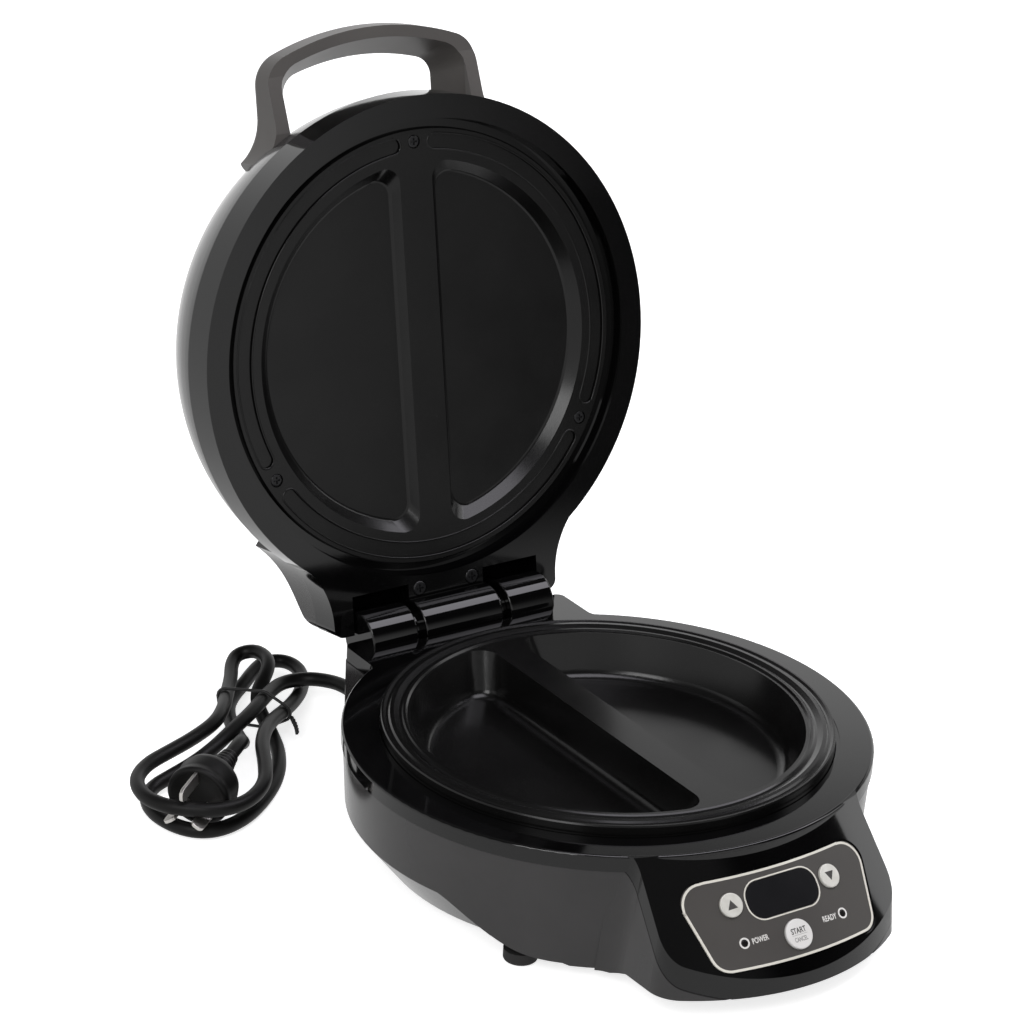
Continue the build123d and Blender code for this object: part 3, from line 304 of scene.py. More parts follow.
def finish(name, first, second, rough, metallic=0.0, tone=(30.0, 0.35, 0.65), rough_scale=22.0,
           grain=None, specks=None, stretch=None, ior=1.5):
    """Moulded, painted or bare surface: two-tone colour, uneven gloss, fine grain and specks.

    tone is the colour noise's scale and limits, grain a bump's scale and depth in metres,
    specks the scale, threshold and colour of small light or dark dots."""
    material, nodes, links, shader = tree_of(name)
    coords = nodes.new("ShaderNodeTexCoord")
    tone_scale, tone_low, tone_high = tone
    mottle = noise(nodes, links, coords, tone_scale, TONE_DETAIL, stretch)
    colour = ramp(nodes, links, mottle, tone_low, tone_high, first, second)
    if specks:
        colour = speckled(nodes, links, coords, colour, *specks)
    links.new(colour, shader.inputs["Base Color"])
    patches = noise(nodes, links, coords, rough_scale, ROUGH_DETAIL, stretch)
    links.new(spread(nodes, links, patches, *rough), shader.inputs["Roughness"])
    shader.inputs["Metallic"].default_value = metallic
    shader.inputs["IOR"].default_value = ior
    if grain:
        grain_scale, grain_depth = grain
        bump = nodes.new("ShaderNodeBump")
        bump.inputs["Strength"].default_value = 1.0
        bump.inputs["Distance"].default_value = grain_depth
        links.new(noise(nodes, links, coords, grain_scale, GRAIN_DETAIL, stretch), bump.inputs["Height"])
        links.new(bump.outputs["Normal"], shader.inputs["Normal"])
    return material


FINISHES = {
    "gloss_black": finish("gloss_black", (0.0012, 0.0012, 0.0013), (0.0020, 0.0019, 0.0020), (0.040, 0.075),
                          grain=(90.0, 0.000003), specks=(2600.0, 0.79, (0.012, 0.012, 0.012))),
    "housing_grey": finish("housing_grey", (0.026, 0.0248, 0.0250), (0.031, 0.0296, 0.0298), (0.13, 0.19),
                           grain=(150.0, 0.000004), specks=(3000.0, 0.78, (0.045, 0.044, 0.045))),
    "handle_grey": finish("handle_grey", (0.074, 0.069, 0.065), (0.086, 0.080, 0.075), (0.36, 0.44),
                          grain=(2600.0, 0.00002), specks=(3200.0, 0.76, (0.095, 0.090, 0.086))),
    "black_plastic": finish("black_plastic", (0.008, 0.008, 0.008), (0.012, 0.012, 0.012), (0.40, 0.52),
                            grain=(2400.0, 0.00003)),
    "nonstick": finish("nonstick", (0.0026, 0.0025, 0.0025), (0.0040, 0.0039, 0.0038), (0.19, 0.25),
                       rough_scale=40.0, grain=(2200.0, 0.000004),
                       specks=(2100.0, 0.72, (0.020, 0.0195, 0.019)), ior=1.42),
    "steel": finish("steel", (0.55, 0.55, 0.56), (0.62, 0.62, 0.63), (0.22, 0.34), 1.0,
                    grain=(1500.0, 0.000008), stretch=(1.0, 12.0, 12.0)),
    "black_steel": finish("black_steel", (0.010, 0.010, 0.011), (0.018, 0.018, 0.019), (0.18, 0.30), 0.4,
                          grain=(1800.0, 0.00001)),
    "sheet_metal": finish("sheet_metal", (0.50, 0.50, 0.51), (0.60, 0.60, 0.61), (0.30, 0.45), 1.0,
                          grain=(700.0, 0.00001), stretch=(1.0, 8.0, 1.0)),
    "overlay": finish("overlay", (0.048, 0.044, 0.040), (0.054, 0.050, 0.045), (0.42, 0.50),
                      grain=(3800.0, 0.00001), specks=(5200.0, 0.72, (0.068, 0.064, 0.060))),
    "window": finish("window", (0.010, 0.010, 0.011), (0.013, 0.013, 0.014), (0.12, 0.18),
                     grain=(600.0, 0.000003)),
    "board": finish("board", (0.010, 0.060, 0.022), (0.016, 0.085, 0.032), (0.35, 0.50),
                    grain=(900.0, 0.00003), specks=(700.0, 0.66, (0.45, 0.40, 0.22))),
    "light_lens": finish("light_lens", (0.004, 0.004, 0.004), (0.007, 0.006, 0.006), (0.10, 0.20)),
    "arrow_key": finish("arrow_key", (0.58, 0.57, 0.52), (0.70, 0.69, 0.64), (0.30, 0.38), 0.15,
                        tone=(260.0, 0.3, 0.7), grain=(2600.0, 0.00001)),
    "start_key": finish("start_key", (0.66, 0.65, 0.63), (0.72, 0.71, 0.69), (0.34, 0.42),
                        grain=(2600.0, 0.00001)),
    "rubber": finish("rubber", (0.012, 0.012, 0.012), (0.020, 0.019, 0.019), (0.75, 0.90),
                     grain=(1500.0, 0.00005)),
    "cord_rubber": finish("cord_rubber", (0.0032, 0.0031, 0.0030), (0.0055, 0.0053, 0.0051), (0.40, 0.50),
                          tone=(60.0, 0.3, 0.7), grain=(1800.0, 0.00003),
                          specks=(2800.0, 0.76, (0.02, 0.0195, 0.019)), ior=1.3),
    "blade_metal": finish("blade_metal", (0.62, 0.60, 0.57), (0.74, 0.72, 0.69), (0.30, 0.42), 1.0,
                          grain=(1200.0, 0.00002), stretch=(1.0, 1.0, 6.0)),
}
INK = {
    "cream_ink": finish("cream_ink", (0.60, 0.58, 0.51), (0.68, 0.66, 0.59), (0.40, 0.50),
                        grain=(3000.0, 0.00001)),
    "white_ink": finish("white_ink", (0.62, 0.61, 0.58), (0.70, 0.69, 0.66), (0.45, 0.55)),
    "dark_ink": finish("dark_ink", (0.040, 0.037, 0.034), (0.052, 0.048, 0.045), (0.45, 0.55)),
    "pale_ink": finish("pale_ink", (0.24, 0.235, 0.225), (0.30, 0.295, 0.28), (0.45, 0.55)),
}

for part in frame["record"]["subparts"]:
    node = frame["nodes"][part["node"]]
    node.data.materials.clear()
    node.data.materials.append(FINISHES[part["material_slot"]])


# ---- objects and meshes ----
def linked(name, data):
    obj = bpy.data.objects.new(name, data)
    bpy.context.scene.collection.objects.link(obj)
    return obj


def piece(name, data, material, body):
    """Object of one material that rides a body."""
    data.materials.append(material)
    obj = linked(name, data)
    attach(obj, body)
    return obj


def smooth(mesh):
    mesh.polygons.foreach_set("use_smooth", [True] * len(mesh.polygons))
    return mesh


def ring_path(radius, count):
    angles = [2 * pi * k / count for k in range(count)]
    return [(radius * cos(a), radius * sin(a)) for a in angles]


def ring_mesh(name, rings, closed=False, tip=None):
    """Skin through equal rings of points. An open one is capped, at its start by a fan if a tip is given."""
    size = len(rings[0])
    count = len(rings)
    vertices = [point for ring in rings for point in ring]
    faces = []
    for k in range(count if closed else count - 1):
        a = k * size
        b = (k + 1) % count * size
        faces += [(a + i, a + (i + 1) % size, b + (i + 1) % size, b + i) for i in range(size)]
    if not closed:
        faces.append(tuple((count - 1) * size + i for i in range(size)))
    if tip is not None:
        faces += [(len(vertices), i, (i + 1) % size) for i in range(size)]
        vertices.append(tip)
    elif not closed:
        faces.append(tuple(range(size)))
    mesh = bpy.data.meshes.new(name)
    mesh.from_pydata(vertices, [], faces)
    mesh.validate()
    work = bmesh.new()
    work.from_mesh(mesh)
    bmesh.ops.recalc_face_normals(work, faces=work.faces)
    work.to_mesh(mesh)
    work.free()
    return mesh


def strip_mesh(name, path, half, low, high):
    """A closed line printed on the panel: its middle follows path, its sides rise from low to high."""
    count = len(path)
    rings = []
    for k in range(count):
        here = Vector(path[k])
        along = (Vector(path[(k + 1) % count]) - Vector(path[k - 1])).normalized()
        aside = Vector((along.y, -along.x)) * half
        corners = ((here - aside, low), (here - aside, high), (here + aside, high), (here + aside, low))
        rings.append([on_panel(*place, lift) for place, lift in corners])
    return ring_mesh(name, rings, closed=True)


def prism(name, outline, low, high, matrix):
    """Flat shape with a thickness, from an outline in millimetres."""
    work = bmesh.new()
    bottom = [work.verts.new((x, y, low)) for x, y in outline]
    top = [work.verts.new((x, y, high)) for x, y in outline]
    work.faces.new(top)
    work.faces.new(bottom[::-1])
    for k in range(len(outline)):
        n = (k + 1) % len(outline)
        work.faces.new((bottom[k], bottom[n], top[n], top[k]))
    bmesh.ops.recalc_face_normals(work, faces=work.faces)
    work.transform(matrix)
    mesh = bpy.data.meshes.new(name)
    work.to_mesh(mesh)
    work.free()
    return mesh


def frame_matrix(across, up, out, origin):
    """Millimetres along three directions from an origin in metres."""
    columns = [across * MM, up * MM, out * MM]
    return Matrix([[c[i] for c in columns] + [origin[i]] for i in range(3)] + [[0, 0, 0, 1]])


def new_curve(name, radius, roundness):
    """Curve drawn as a tube, its radius in millimetres."""
    curve = bpy.data.curves.new(name, "CURVE")
    curve.dimensions = "3D"
    curve.bevel_depth = radius * MM
    curve.bevel_resolution = roundness
    curve.use_fill_caps = True
    return curve


def add_polyline(curve, places, closed):
    """Straight runs through places in metres."""
    spline = curve.splines.new("POLY")
    spline.points.add(len(places) - 1)
    for point, place in zip(spline.points, places):
        point.co = (*place, 1.0)
    spline.use_cyclic_u = closed


def add_smooth_line(curve, places):
    """Quadratic spline whose control points are places in metres."""
    spline = curve.splines.new("NURBS")
    spline.points.add(len(places) - 1)
    for point, place in zip(spline.points, places):
        point.co = (*place, 1.0)
    spline.order_u = 3
    spline.use_endpoint_u = True
    return spline


def mesh_of(holder):
    """Mesh of a curve or text as Blender draws it; the holder goes."""
    bpy.context.view_layer.update()
    mesh = bpy.data.meshes.new_from_object(holder.evaluated_get(bpy.context.evaluated_depsgraph_get()))
    curve = holder.data
    bpy.data.objects.remove(holder)
    bpy.data.curves.remove(curve)
    return mesh


# ---- lid ----
def on_lid(x, y, z):
    """A point given with the lid closed, on the open lid."""
    y, z = y - HINGE_Y, z - HINGE_Z
    return row((x, HINGE_Y + y * cos(OPEN) + z * sin(OPEN), HINGE_Z - y * sin(OPEN) + z * cos(OPEN)))


def crown_skin(name):
    """Thin smooth disc over the middle of the lid's crown, sunk into it at the rim."""
    levels = []
    for k in range(1, SKIN_RINGS + 1):
        radius = SKIN_R * k / SKIN_RINGS
        outside = max(0.0, radius - SKIN_LEVEL_R) / (SKIN_R - SKIN_LEVEL_R)
        levels.append((radius, SKIN_LIFT - SKIN_DIP * outside ** 2))
    levels.append((SKIN_R, -SKIN_SIDE))
    rings = []
    for radius, lift in levels:
        z = LID_TOP_Z - LID_CROWN_R + sqrt(LID_CROWN_R ** 2 - radius ** 2) + lift
        rings.append([on_lid(x, y, z) for x, y in ring_path(radius, SKIN_STEPS)])
    return smooth(ring_mesh(name, rings, tip=on_lid(0.0, 0.0, LID_TOP_Z + SKIN_LIFT)))


def groove_outline(start, end, z):
    """Outline of an arc groove with round ends, from angle start to angle end in degrees."""
    middle = (GROOVE_IN + GROOVE_OUT) / 2
    half = (GROOVE_OUT - GROOVE_IN) / 2
    places = []

    def side(radius, first, last):
        for k in range(GROOVE_SIDE_STEPS + 1):
            angle = radians(first + (last - first) * k / GROOVE_SIDE_STEPS)
            places.append(on_lid(radius * cos(angle), radius * sin(angle), z))

    def round_end(at, first):
        for k in range(1, GROOVE_END_STEPS):
            turn = radians(at) + first + pi * k / GROOVE_END_STEPS
            x = middle * cos(radians(at)) + half * cos(turn)
            y = middle * sin(radians(at)) + half * sin(turn)
            places.append(on_lid(x, y, z))

    side(GROOVE_OUT, start, end)
    round_end(end, 0.0)
    side(GROOVE_IN, end, start)
    round_end(start, pi)
    return places


def groove_rims(name):
    """Fine raised rim round each of the plate's arc grooves, which lie between its three screws."""
    curve = new_curve(name, GROOVE_RIM_R, BEAD_ROUNDNESS)
    span = 360 / GROOVE_COUNT
    for k in range(GROOVE_COUNT):
        screw = -90 + span * k
        outline = groove_outline(screw + GROOVE_GAP, screw + span - GROOVE_GAP, LID_FACE_Z + GROOVE_RIM_SINK)
        add_polyline(curve, outline, closed=True)
    return curve


def deck_bead(name):
    """Round bead along the rounding of the deck's edge, over the nose."""
    curve = new_curve(name, DECK_EDGE_R + BEAD_PROUD, BEAD_ROUNDNESS)
    radius = DECK_R - DECK_EDGE_R
    places = []
    for k in range(round(2 * BEAD_HALF / BEAD_STEP) + 1):
        angle = radians(-90 - BEAD_HALF + BEAD_STEP * k)
        places.append(row((radius * cos(angle), radius * sin(angle), DECK_Z - DECK_EDGE_R)))
    add_polyline(curve, places, closed=False)
    return curve


piece("lid_crown_skin", crown_skin("lid_crown_skin"), FINISHES["housing_grey"], "lid")
piece("deck_front_edge", deck_bead("deck_front_edge"), FINISHES["gloss_black"], "base")
piece("plate_groove_rims", groove_rims("plate_groove_rims"), FINISHES["nonstick"], "lid")


# ---- control panel ----
def on_panel(x, y, lift):
    """Point over the bowed face; y runs up the slope from the panel's origin line."""
    rise = sqrt((CROWN_R + lift) ** 2 - x * x) - CROWN_R
    return row(CROWN + ACROSS * x + OUT * rise - DOWN * y)


def panel_matrix(x, y, lift):
    """Frame on the face at (x, y): x across, y up the slope, z out, in millimetres."""
    lean = asin(x / CROWN_R)
    normal = ACROSS * sin(lean) + OUT * cos(lean)
    across = ACROSS * cos(lean) - OUT * sin(lean)
    origin = row(CROWN - OUT * CROWN_R + normal * (CROWN_R + lift) - DOWN * y)
    return frame_matrix(across, -DOWN, normal, origin)


def bowed_side(a, b, bow):
    """Points from a to b along a shallow arch that rises by bow."""
    aside = Vector(((b - a).y, -(b - a).x)).normalized()
    shares = [k / SIDE_STEPS for k in range(SIDE_STEPS + 1)]
    return [a.lerp(b, t) + aside * bow * 4 * t * (1 - t) for t in shares]


def rounded(corners, radii, bows):
    """Closed outline through corners; each side may bow, and each corner is an exact arc."""
    count = len(corners)
    sides = [bowed_side(Vector(corners[k]), Vector(corners[(k + 1) % count]), bows[k]) for k in range(count)]
    points = []
    for k in range(count):
        incoming = sides[k - 1]
        outgoing = sides[k]
        corner = outgoing[0]
        next_corner = outgoing[-1]
        first = (incoming[-2] - corner).normalized()
        second = (outgoing[1] - corner).normalized()
        half = first.angle(second) / 2
        reach = radii[k] / tan(half)
        start = corner + first * reach
        end = corner + second * reach
        for i in range(CORNER_STEPS + 1):
            t = i / CORNER_STEPS
            parts = ((1 - t) ** 2, 2 * t * (1 - t) * sin(half), t ** 2)
            points.append((start * parts[0] + corner * parts[1] + end * parts[2]) / sum(parts))
        next_reach = radii[(k + 1) % count] + SIDE_END_GAP
        points += [p for p in outgoing if (p - corner).length > reach + SIDE_START_GAP
                   and (p - next_corner).length > next_reach]
    return points


def mirrored(corners):
    """Corners of a shape with two equal halves, from the right half's, left to right along the top."""
    (top_x, top_y), (foot_x, foot_y) = corners
    return [(-top_x, top_y), (top_x, top_y), (foot_x, foot_y), (-foot_x, foot_y)]


def printed_line(name, path, half, low, high, ink):
    piece(name, strip_mesh(name, path, half, low, high), INK[ink], "base")


def light_ring(name, side):
    path = [(side * KEY_X + x, LIGHT_Y + y) for x, y in ring_path(RING_R, RING_STEPS)]
    printed_line(name, path, RING_HALF, FACE - PRINT_ROOT, FACE + RING_LIFT, "white_ink")


def word(name, height, width, matrix, ink, body):
    """Printed word, the first half of its name, centred on a frame: height tall and width wide."""
    curve = bpy.data.curves.new(name, "FONT")
    curve.body = name.split("_")[0].upper()
    curve.size = 1.0
    curve.resolution_u = 4
    curve.extrude = LETTER_T
    curve.offset = LETTER_WEIGHT
    mesh = mesh_of(linked(name, curve))
    xs = [v.co.x for v in mesh.vertices]
    ys = [v.co.y for v in mesh.vertices]
    middle = Vector(((max(xs) + min(xs)) / 2, (max(ys) + min(ys)) / 2, 0.0))
    size = (width / (max(xs) - min(xs)), height / (max(ys) - min(ys)), LETTER_DEPTH, 1.0)
    mesh.transform(matrix @ Matrix.Diagonal(size) @ Matrix.Translation(-middle))
    piece(name, mesh, INK[ink], body)


def arrow_mark(name, side):
    """Triangle on a round key: upward on the left key, downward on the right one."""
    tip = -side * MARK_TIP
    base = -tip * MARK_BASE
    triangle = [(-MARK_HALF, base), (MARK_HALF, base), (0.0, tip)]
    if side > 0:
        triangle.reverse()
    mesh = prism(name + "_mark", triangle, 0.0, MARK_T, panel_matrix(side * KEY_X, KEY_Y, KEY_TOP))
    piece(name + "_mark", mesh, INK["dark_ink"], name + "_button_body")


def start_key_print():
    """START over CANCEL with a fine rule between them, riding the key."""
    body = "start_button_body"
    face = panel_matrix(0.0, START_Y, KEY_TOP + START_LIFT)
    start_at = face @ Matrix.Translation((0, START_WORD_Y, 0))
    cancel_at = face @ Matrix.Translation((0, CANCEL_WORD_Y, 0))
    word("start_word", WORD_H, START_WORD_W, start_at, "dark_ink", body)
    word("cancel_word", CANCEL_WORD_H, CANCEL_WORD_W, cancel_at, "pale_ink", body)
    foot, top = RULE_Y
    line = [(-RULE_HALF, foot), (RULE_HALF, foot), (RULE_HALF, top), (-RULE_HALF, top)]
    piece("start_rule", prism("start_rule", line, 0.0, RULE_T, face), INK["pale_ink"], body)


border_line = rounded(mirrored((BORDER_TOP, BORDER_FOOT)), BORDER_RADII, BORDER_BOWS)
printed_line("panel_border", border_line, BORDER_HALF, FACE - BORDER_ROOT, FACE + BORDER_LIFT, "cream_ink")
window_corners = mirrored(((WINDOW_X, WINDOW_TOP), (WINDOW_X, WINDOW_FOOT)))
window_line = rounded(window_corners, [WINDOW_RADIUS] * 4, [0.0] * 4)
printed_line("window_border", window_line, WINDOW_HALF, FACE - PRINT_ROOT, FACE + WINDOW_LIFT, "cream_ink")
light_ring("power_light_ring", -1)
light_ring("ready_light_ring", 1)
for label, (label_x, label_width) in (("power_word", POWER_WORD), ("ready_word", READY_WORD)):
    label_at = panel_matrix(label_x, LIGHT_Y - LABEL_DROP, FACE + WORD_LIFT)
    word(label, WORD_H, label_width, label_at, "white_ink", "base")
arrow_mark("up", -1)
arrow_mark("down", 1)
start_key_print()


# ---- mains cord and plug ----
def cord_curve(name, radius):
    curve = new_curve(name, radius, CORD_ROUNDNESS)
    spline = add_smooth_line(curve, [row(place) for place in ROUTE])
    spline.resolution_u = CORD_FINENESS
    return curve


def plug_matrix():
    """The plug's own frame: z out of its face, origin on the face."""
    along = Vector((cos(PLUG_TURN) * cos(PLUG_TILT), sin(PLUG_TURN) * cos(PLUG_TILT), -sin(PLUG_TILT)))
    aside = UP.cross(along).normalized()
    return frame_matrix(aside, along.cross(aside), along, row(PLUG_FACE))


def plug_outline():
    """Radius and z: a relief with ridges, then the moulded body with a rolled back and a face rim."""
    tail = -PLUG_L - RELIEF_L
    points = [(CORD_R + 0.2, tail), (CORD_R + 0.8, tail + 0.3), (CORD_R + 0.9, tail + 1.4)]
    for k in range(RIDGES):
        z = tail + 2.4 + RIDGE_PITCH * k
        r = CORD_R + 1.0 + RIDGE_GROWTH * k
        points += [(r - 0.5, z), (r - 0.5, z + 0.8), (r + 0.35, z + 1.1), (r + 0.4, z + 2.0)]
    back = -PLUG_L - 4
    points += [(CORD_R + 3.2, back - 0.6), (CORD_R + 4.6, back), (CORD_R + 6.0, back + 0.3)]
    points += [(PLUG_R - 3.6, back + 1.8), (PLUG_R - 1.4, back + 4.6), (PLUG_R - 0.3, back + 8.0)]
    points += [(PLUG_R - 0.9, -6.5), (PLUG_R - 0.9, -3.6), (PLUG_R, -3.0), (PLUG_R, -0.9)]
    points += [(PLUG_R - 0.9, 0.0), (PLUG_R - 2.4, 0.0), (PLUG_R - 2.7, -0.5), (0.5, -0.5)]
    return points


def plug_mesh(name):
    stand = plug_matrix()
    rings = []
    for radius, z in plug_outline():
        rings.append([stand @ Vector((x, y, z)) for x, y in ring_path(radius, PLUG_STEPS)])
    return smooth(ring_mesh(name, rings))


def pin_outline():
    """A flat pin's face: its root inside the plug, its tip rounded."""
    half = PIN_W / 2
    tip = [(half, PIN_L - 3.4), (half * 0.93, PIN_L - 1.6), (half * 0.66, PIN_L - 0.4), (half * 0.35, PIN_L)]
    return [(-half, -PIN_ROOT), (half, -PIN_ROOT)] + tip + [(-x, z) for x, z in reversed(tip)]


def pins_mesh(name):
    pins = bmesh.new()
    for x, y, turn in PINS:
        place = Matrix.Translation((x, y, 0)) @ Matrix.Rotation(radians(turn + 90.0), 4, "Z")
        upright = plug_matrix() @ place @ Matrix.Rotation(pi / 2, 4, "X")
        pins.from_mesh(prism("pin", pin_outline(), -PIN_T / 2, PIN_T / 2, upright))
    mesh = bpy.data.meshes.new(name)
    pins.to_mesh(mesh)
    pins.free()
    return mesh


cord = piece("power_cord", cord_curve("power_cord", CORD_R), FINISHES["cord_rubber"], "base")
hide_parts("mains_cord", "cord_hank")
plug_body = piece("plug", plug_mesh("plug"), FINISHES["cord_rubber"], "base")
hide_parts("plug_body")
plug_pins = piece("plug_pins", pins_mesh("plug_pins"), FINISHES["blade_metal"], "base")
edge = plug_pins.modifiers.new("edge", "BEVEL")
edge.width = PIN_BEVEL * MM
edge.segments = 2
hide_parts("plug_blades")


# ---- twist tie round the hank ----
def cord_passes():
    """Where the cord's line goes through the tie's plane: distance aside and height."""
    mesh = mesh_of(linked("cord_line", cord_curve("cord_line", 0.0)))
    line = [Vector((v.co.x / MM, v.co.y / MM - SHIFT_Y, v.co.z / MM)) - TIE_AT for v in mesh.vertices]
    bpy.data.meshes.remove(mesh)
    found = []
    for a, b in zip(line, line[1:]):
        before = a.dot(TIE_ALONG)
        after = b.dot(TIE_ALONG)
        if before * after <= 0 and abs(a.dot(TIE_ASIDE)) < TIE_HALF:
            crossing = a.lerp(b, before / (before - after) if before != after else 0.5)
            found.append((crossing.dot(TIE_ASIDE), crossing.z))
    return found


def half_hull(points):
    chain = []
    for p in points:
        while len(chain) > 1 and ((chain[-1][0] - chain[-2][0]) * (p[1] - chain[-2][1])
                                  - (chain[-1][1] - chain[-2][1]) * (p[0] - chain[-2][0])) <= 0:
            chain.pop()
        chain.append(p)
    return chain[:-1]


def hull(points):
    """Convex outline of points, anticlockwise."""
    points = sorted(points)
    return half_hull(points) + half_hull(points[::-1])


def tie_outline():
    """The tie's line round every pass of the cord, kept above the table: distance aside and height."""
    around = []
    for y, z in cord_passes():
        around += [(y + dy, max(z + dz, TIE_LOWEST)) for dy, dz in ring_path(TIE_REACH, TIE_PASS_STEPS)]
    return hull(around)


def tie_tail(knot, turn):
    """One of the two twisted ends, from the knot outward and down."""
    places = []
    for k in range(TAIL_STEPS + 1):
        t = k / TAIL_STEPS
        angle = turn + 2 * pi * TAIL_TURNS * t
        swing = TAIL_SWING if k > 1 else TAIL_ROOT_SWING
        out = TAIL_OUT * t + TAIL_BULGE * sin(pi * t)
        middle = knot - TIE_ASIDE * out - UP * TAIL_DROP * t - TIE_ALONG * TAIL_ALONG * t
        places.append(row(middle + TIE_ALONG * swing * cos(angle) + UP * swing * sin(angle)))
    return places


def tie_curve(name):
    curve = new_curve(name, TIE_R, TIE_ROUNDNESS)
    outline = tie_outline()
    add_polyline(curve, [row(TIE_AT + TIE_ASIDE * y + UP * z) for y, z in outline], closed=True)
    knot = TIE_AT + TIE_ASIDE * (min(y for y, z in outline) - KNOT_OUT) + UP * KNOT_Z
    for turn in (0.0, pi):
        add_smooth_line(curve, tie_tail(knot, turn))
    return curve


tie = piece("twist_tie", tie_curve("twist_tie"), FINISHES["black_plastic"], "base")
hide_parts("cord_tie")


# ---- floor, sky and lamps ----
def mapped(nodes, links, source, ends, values):
    """Smooth change between two values while source goes between two ends."""
    node = nodes.new("ShaderNodeMapRange")
    node.interpolation_type = "SMOOTHSTEP"
    node.inputs["From Min"].default_value = ends[0]
    node.inputs["From Max"].default_value = ends[1]
    node.inputs["To Min"].default_value = values[0]
    node.inputs["To Max"].default_value = values[1]
    links.new(source, node.inputs["Value"])
    return node.outputs["Result"]


def combined(nodes, links, operation, first, second):
    node = nodes.new("ShaderNodeMath")
    node.operation = operation
    links.new(first, node.inputs[0])
    links.new(second, node.inputs[1])
    return node.outputs[0]


def studio(nodes, links, direction):
    """Brightness that gloss sees in a direction: a white sweep behind, a lit wall at the front left that ends
    in an upright edge, and a dim room at the front right."""
    split = nodes.new("ShaderNodeSeparateXYZ")
    links.new(direction, split.inputs[0])
    x, y, z = split.outputs
    sweep = combined(nodes, links, "MULTIPLY", mapped(nodes, links, y, SWEEP_SIDE, SWEEP),
                     mapped(nodes, links, z, SWEEP_TOP, (1.0, SWEEP_REST)))
    sweep = combined(nodes, links, "MULTIPLY", sweep, mapped(nodes, links, x, SWEEP_DIM, (SWEEP_LEFT, 1.0)))
    aside = nodes.new("ShaderNodeVectorMath")
    aside.operation = "DOT_PRODUCT"
    links.new(direction, aside.inputs[0])
    aside.inputs[1].default_value = WALL_NORMAL
    wall = combined(nodes, links, "MULTIPLY", mapped(nodes, links, aside.outputs["Value"], WALL_SIDE, WALL),
                    mapped(nodes, links, z, WALL_TOP, (1.0, WALL_REST)))
    return combined(nodes, links, "MAXIMUM", sweep, wall)


def seen_directly(nodes, links, path):
    camera_ray = path.outputs["Is Camera Ray"]
    return combined(nodes, links, "MAXIMUM", camera_ray, path.outputs["Is Transmission Ray"])


def vector_math(nodes, links, operation, source):
    node = nodes.new("ShaderNodeVectorMath")
    node.operation = operation
    links.new(source, node.inputs[0])
    return node


def floor_material():
    """White table. In reflections it glows with painted light near the object, and further out shows the
    room.
    """
    material, nodes, links, shader = tree_of("floor_white")
    shader.inputs["Base Color"].default_value = (FLOOR_WHITE, FLOOR_WHITE, FLOOR_WHITE, 1.0)
    shader.inputs["Roughness"].default_value = 0.9
    shader.inputs["Specular IOR Level"].default_value = 0.0
    shader.inputs["Emission Color"].default_value = (1.0, 1.0, 1.0, 1.0)
    path = nodes.new("ShaderNodeLightPath")
    glow = mapped(nodes, links, seen_directly(nodes, links, path), (0.0, 1.0), (0.0, FLOOR_GLOW))
    links.new(glow, shader.inputs["Emission Strength"])
    coords = nodes.new("ShaderNodeTexCoord")
    outward = vector_math(nodes, links, "NORMALIZE", coords.outputs["Object"])
    distance = vector_math(nodes, links, "LENGTH", coords.outputs["Object"])
    # painted light: the table seen in gloss glows near the object and fades out between these distances
    near = mapped(nodes, links, distance.outputs["Value"], TABLE_EDGE, TABLE_PAINTED_GLOW)
    reflected = nodes.new("ShaderNodeEmission")
    room = studio(nodes, links, outward.outputs["Vector"])
    links.new(combined(nodes, links, "MAXIMUM", near, room), reflected.inputs["Strength"])
    either = nodes.new("ShaderNodeMixShader")
    links.new(path.outputs["Is Glossy Ray"], either.inputs["Fac"])
    links.new(shader.outputs["BSDF"], either.inputs[1])
    links.new(reflected.outputs["Emission"], either.inputs[2])
    links.new(either.outputs["Shader"], nodes["Material Output"].inputs["Surface"])
    return material


def ground():
    corners = [(x * FLOOR_HALF, y * FLOOR_HALF, -FLOOR_DROP) for x, y in ((-1, -1), (1, -1), (1, 1), (-1, 1))]
    mesh = bpy.data.meshes.new("floor")
    mesh.from_pydata(corners, [], [(0, 1, 2, 3)])
    mesh.materials.append(floor_material())
    linked("floor", mesh)


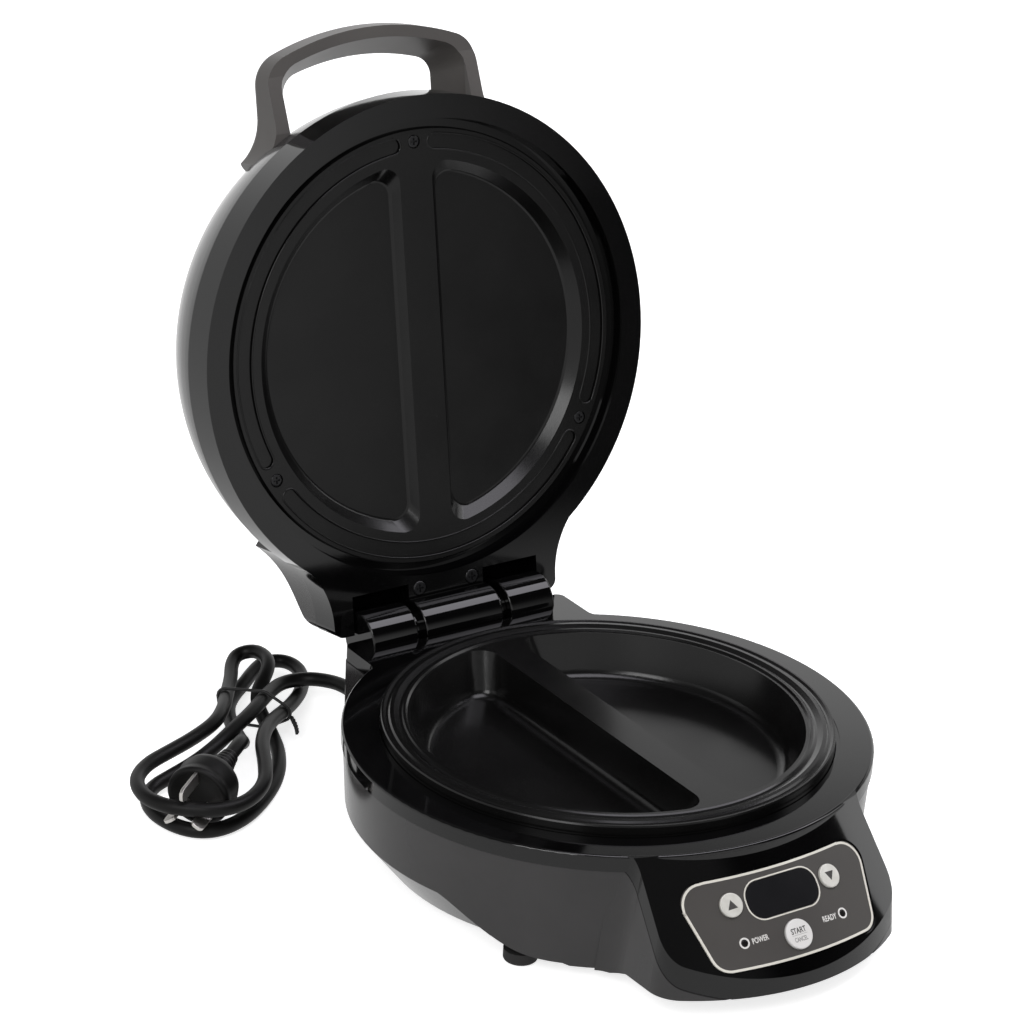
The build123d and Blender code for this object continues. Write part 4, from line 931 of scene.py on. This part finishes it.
def sky():
    """White to the camera, the studio to gloss, and an even fill to everything else."""
    world = bpy.data.worlds.new("studio")
    bpy.context.scene.world = world
    world.use_nodes = True
    nodes = world.node_tree.nodes
    links = world.node_tree.links
    background = nodes["Background"]
    path = nodes.new("ShaderNodeLightPath")
    coords = nodes.new("ShaderNodeTexCoord")
    pick = nodes.new("ShaderNodeMix")
    pick.inputs["A"].default_value = SKY_FILL
    links.new(path.outputs["Is Glossy Ray"], pick.inputs["Factor"])
    links.new(studio(nodes, links, coords.outputs["Generated"]), pick.inputs["B"])
    level = nodes.new("ShaderNodeMix")
    level.inputs["B"].default_value = 1.0
    links.new(seen_directly(nodes, links, path), level.inputs["Factor"])
    links.new(pick.outputs["Result"], level.inputs["A"])
    links.new(level.outputs["Result"], background.inputs["Strength"])
    background.inputs["Color"].default_value = (1.0, 1.0, 1.0, 1.0)


def lamp(name, place, aim, size, power, tint=(1.0, 1.0, 1.0)):
    """Soft box; one with no aim hangs level, its long side along X."""
    data = bpy.data.lights.new(name, "AREA")
    data.shape = "RECTANGLE"
    data.size, data.size_y = size
    data.energy = power
    data.color = tint
    obj = linked(name, data)
    obj.location = place
    if aim:
        obj.rotation_euler = (Vector(aim) - Vector(place)).to_track_quat("-Z", "Y").to_euler()


ground()
sky()
lamp("key", (-1.5, -0.9, 1.5), (0.0, 0.0, 0.12), (0.9, 0.9), 15.0)
lamp("top", (0.95, -0.40, 2.0), None, (2.8, 1.0), 34.0, (0.95, 0.93, 1.0))
lamp("side", (1.7, -0.5, 1.0), (0.0, 0.0, 0.1), (0.6, 1.0), 4.0)


# ---- camera ----
def camera_matrix():
    back = Vector((sin(YAW) * cos(PITCH), -cos(YAW) * cos(PITCH), sin(PITCH)))
    right = (-back).cross(UP).normalized()
    up = right.cross(-back)
    rolled_right = right * cos(ROLL) + up * sin(ROLL)
    rolled_up = up * cos(ROLL) - right * sin(ROLL)
    columns = (rolled_right, rolled_up, back, CAMERA_AT)
    return Matrix([[c[i] for c in columns] for i in range(3)] + [[0, 0, 0, 1]])


camera_data = bpy.data.cameras.new("camera")
camera_data.lens = LENS
camera_data.sensor_width = SENSOR
camera_data.clip_end = CLIP_END
camera = linked("camera", camera_data)
camera.matrix_world = camera_matrix()
bpy.context.scene.camera = camera
bpy.context.scene.view_settings.view_transform = "Standard"

bpy.context.view_layer.update()
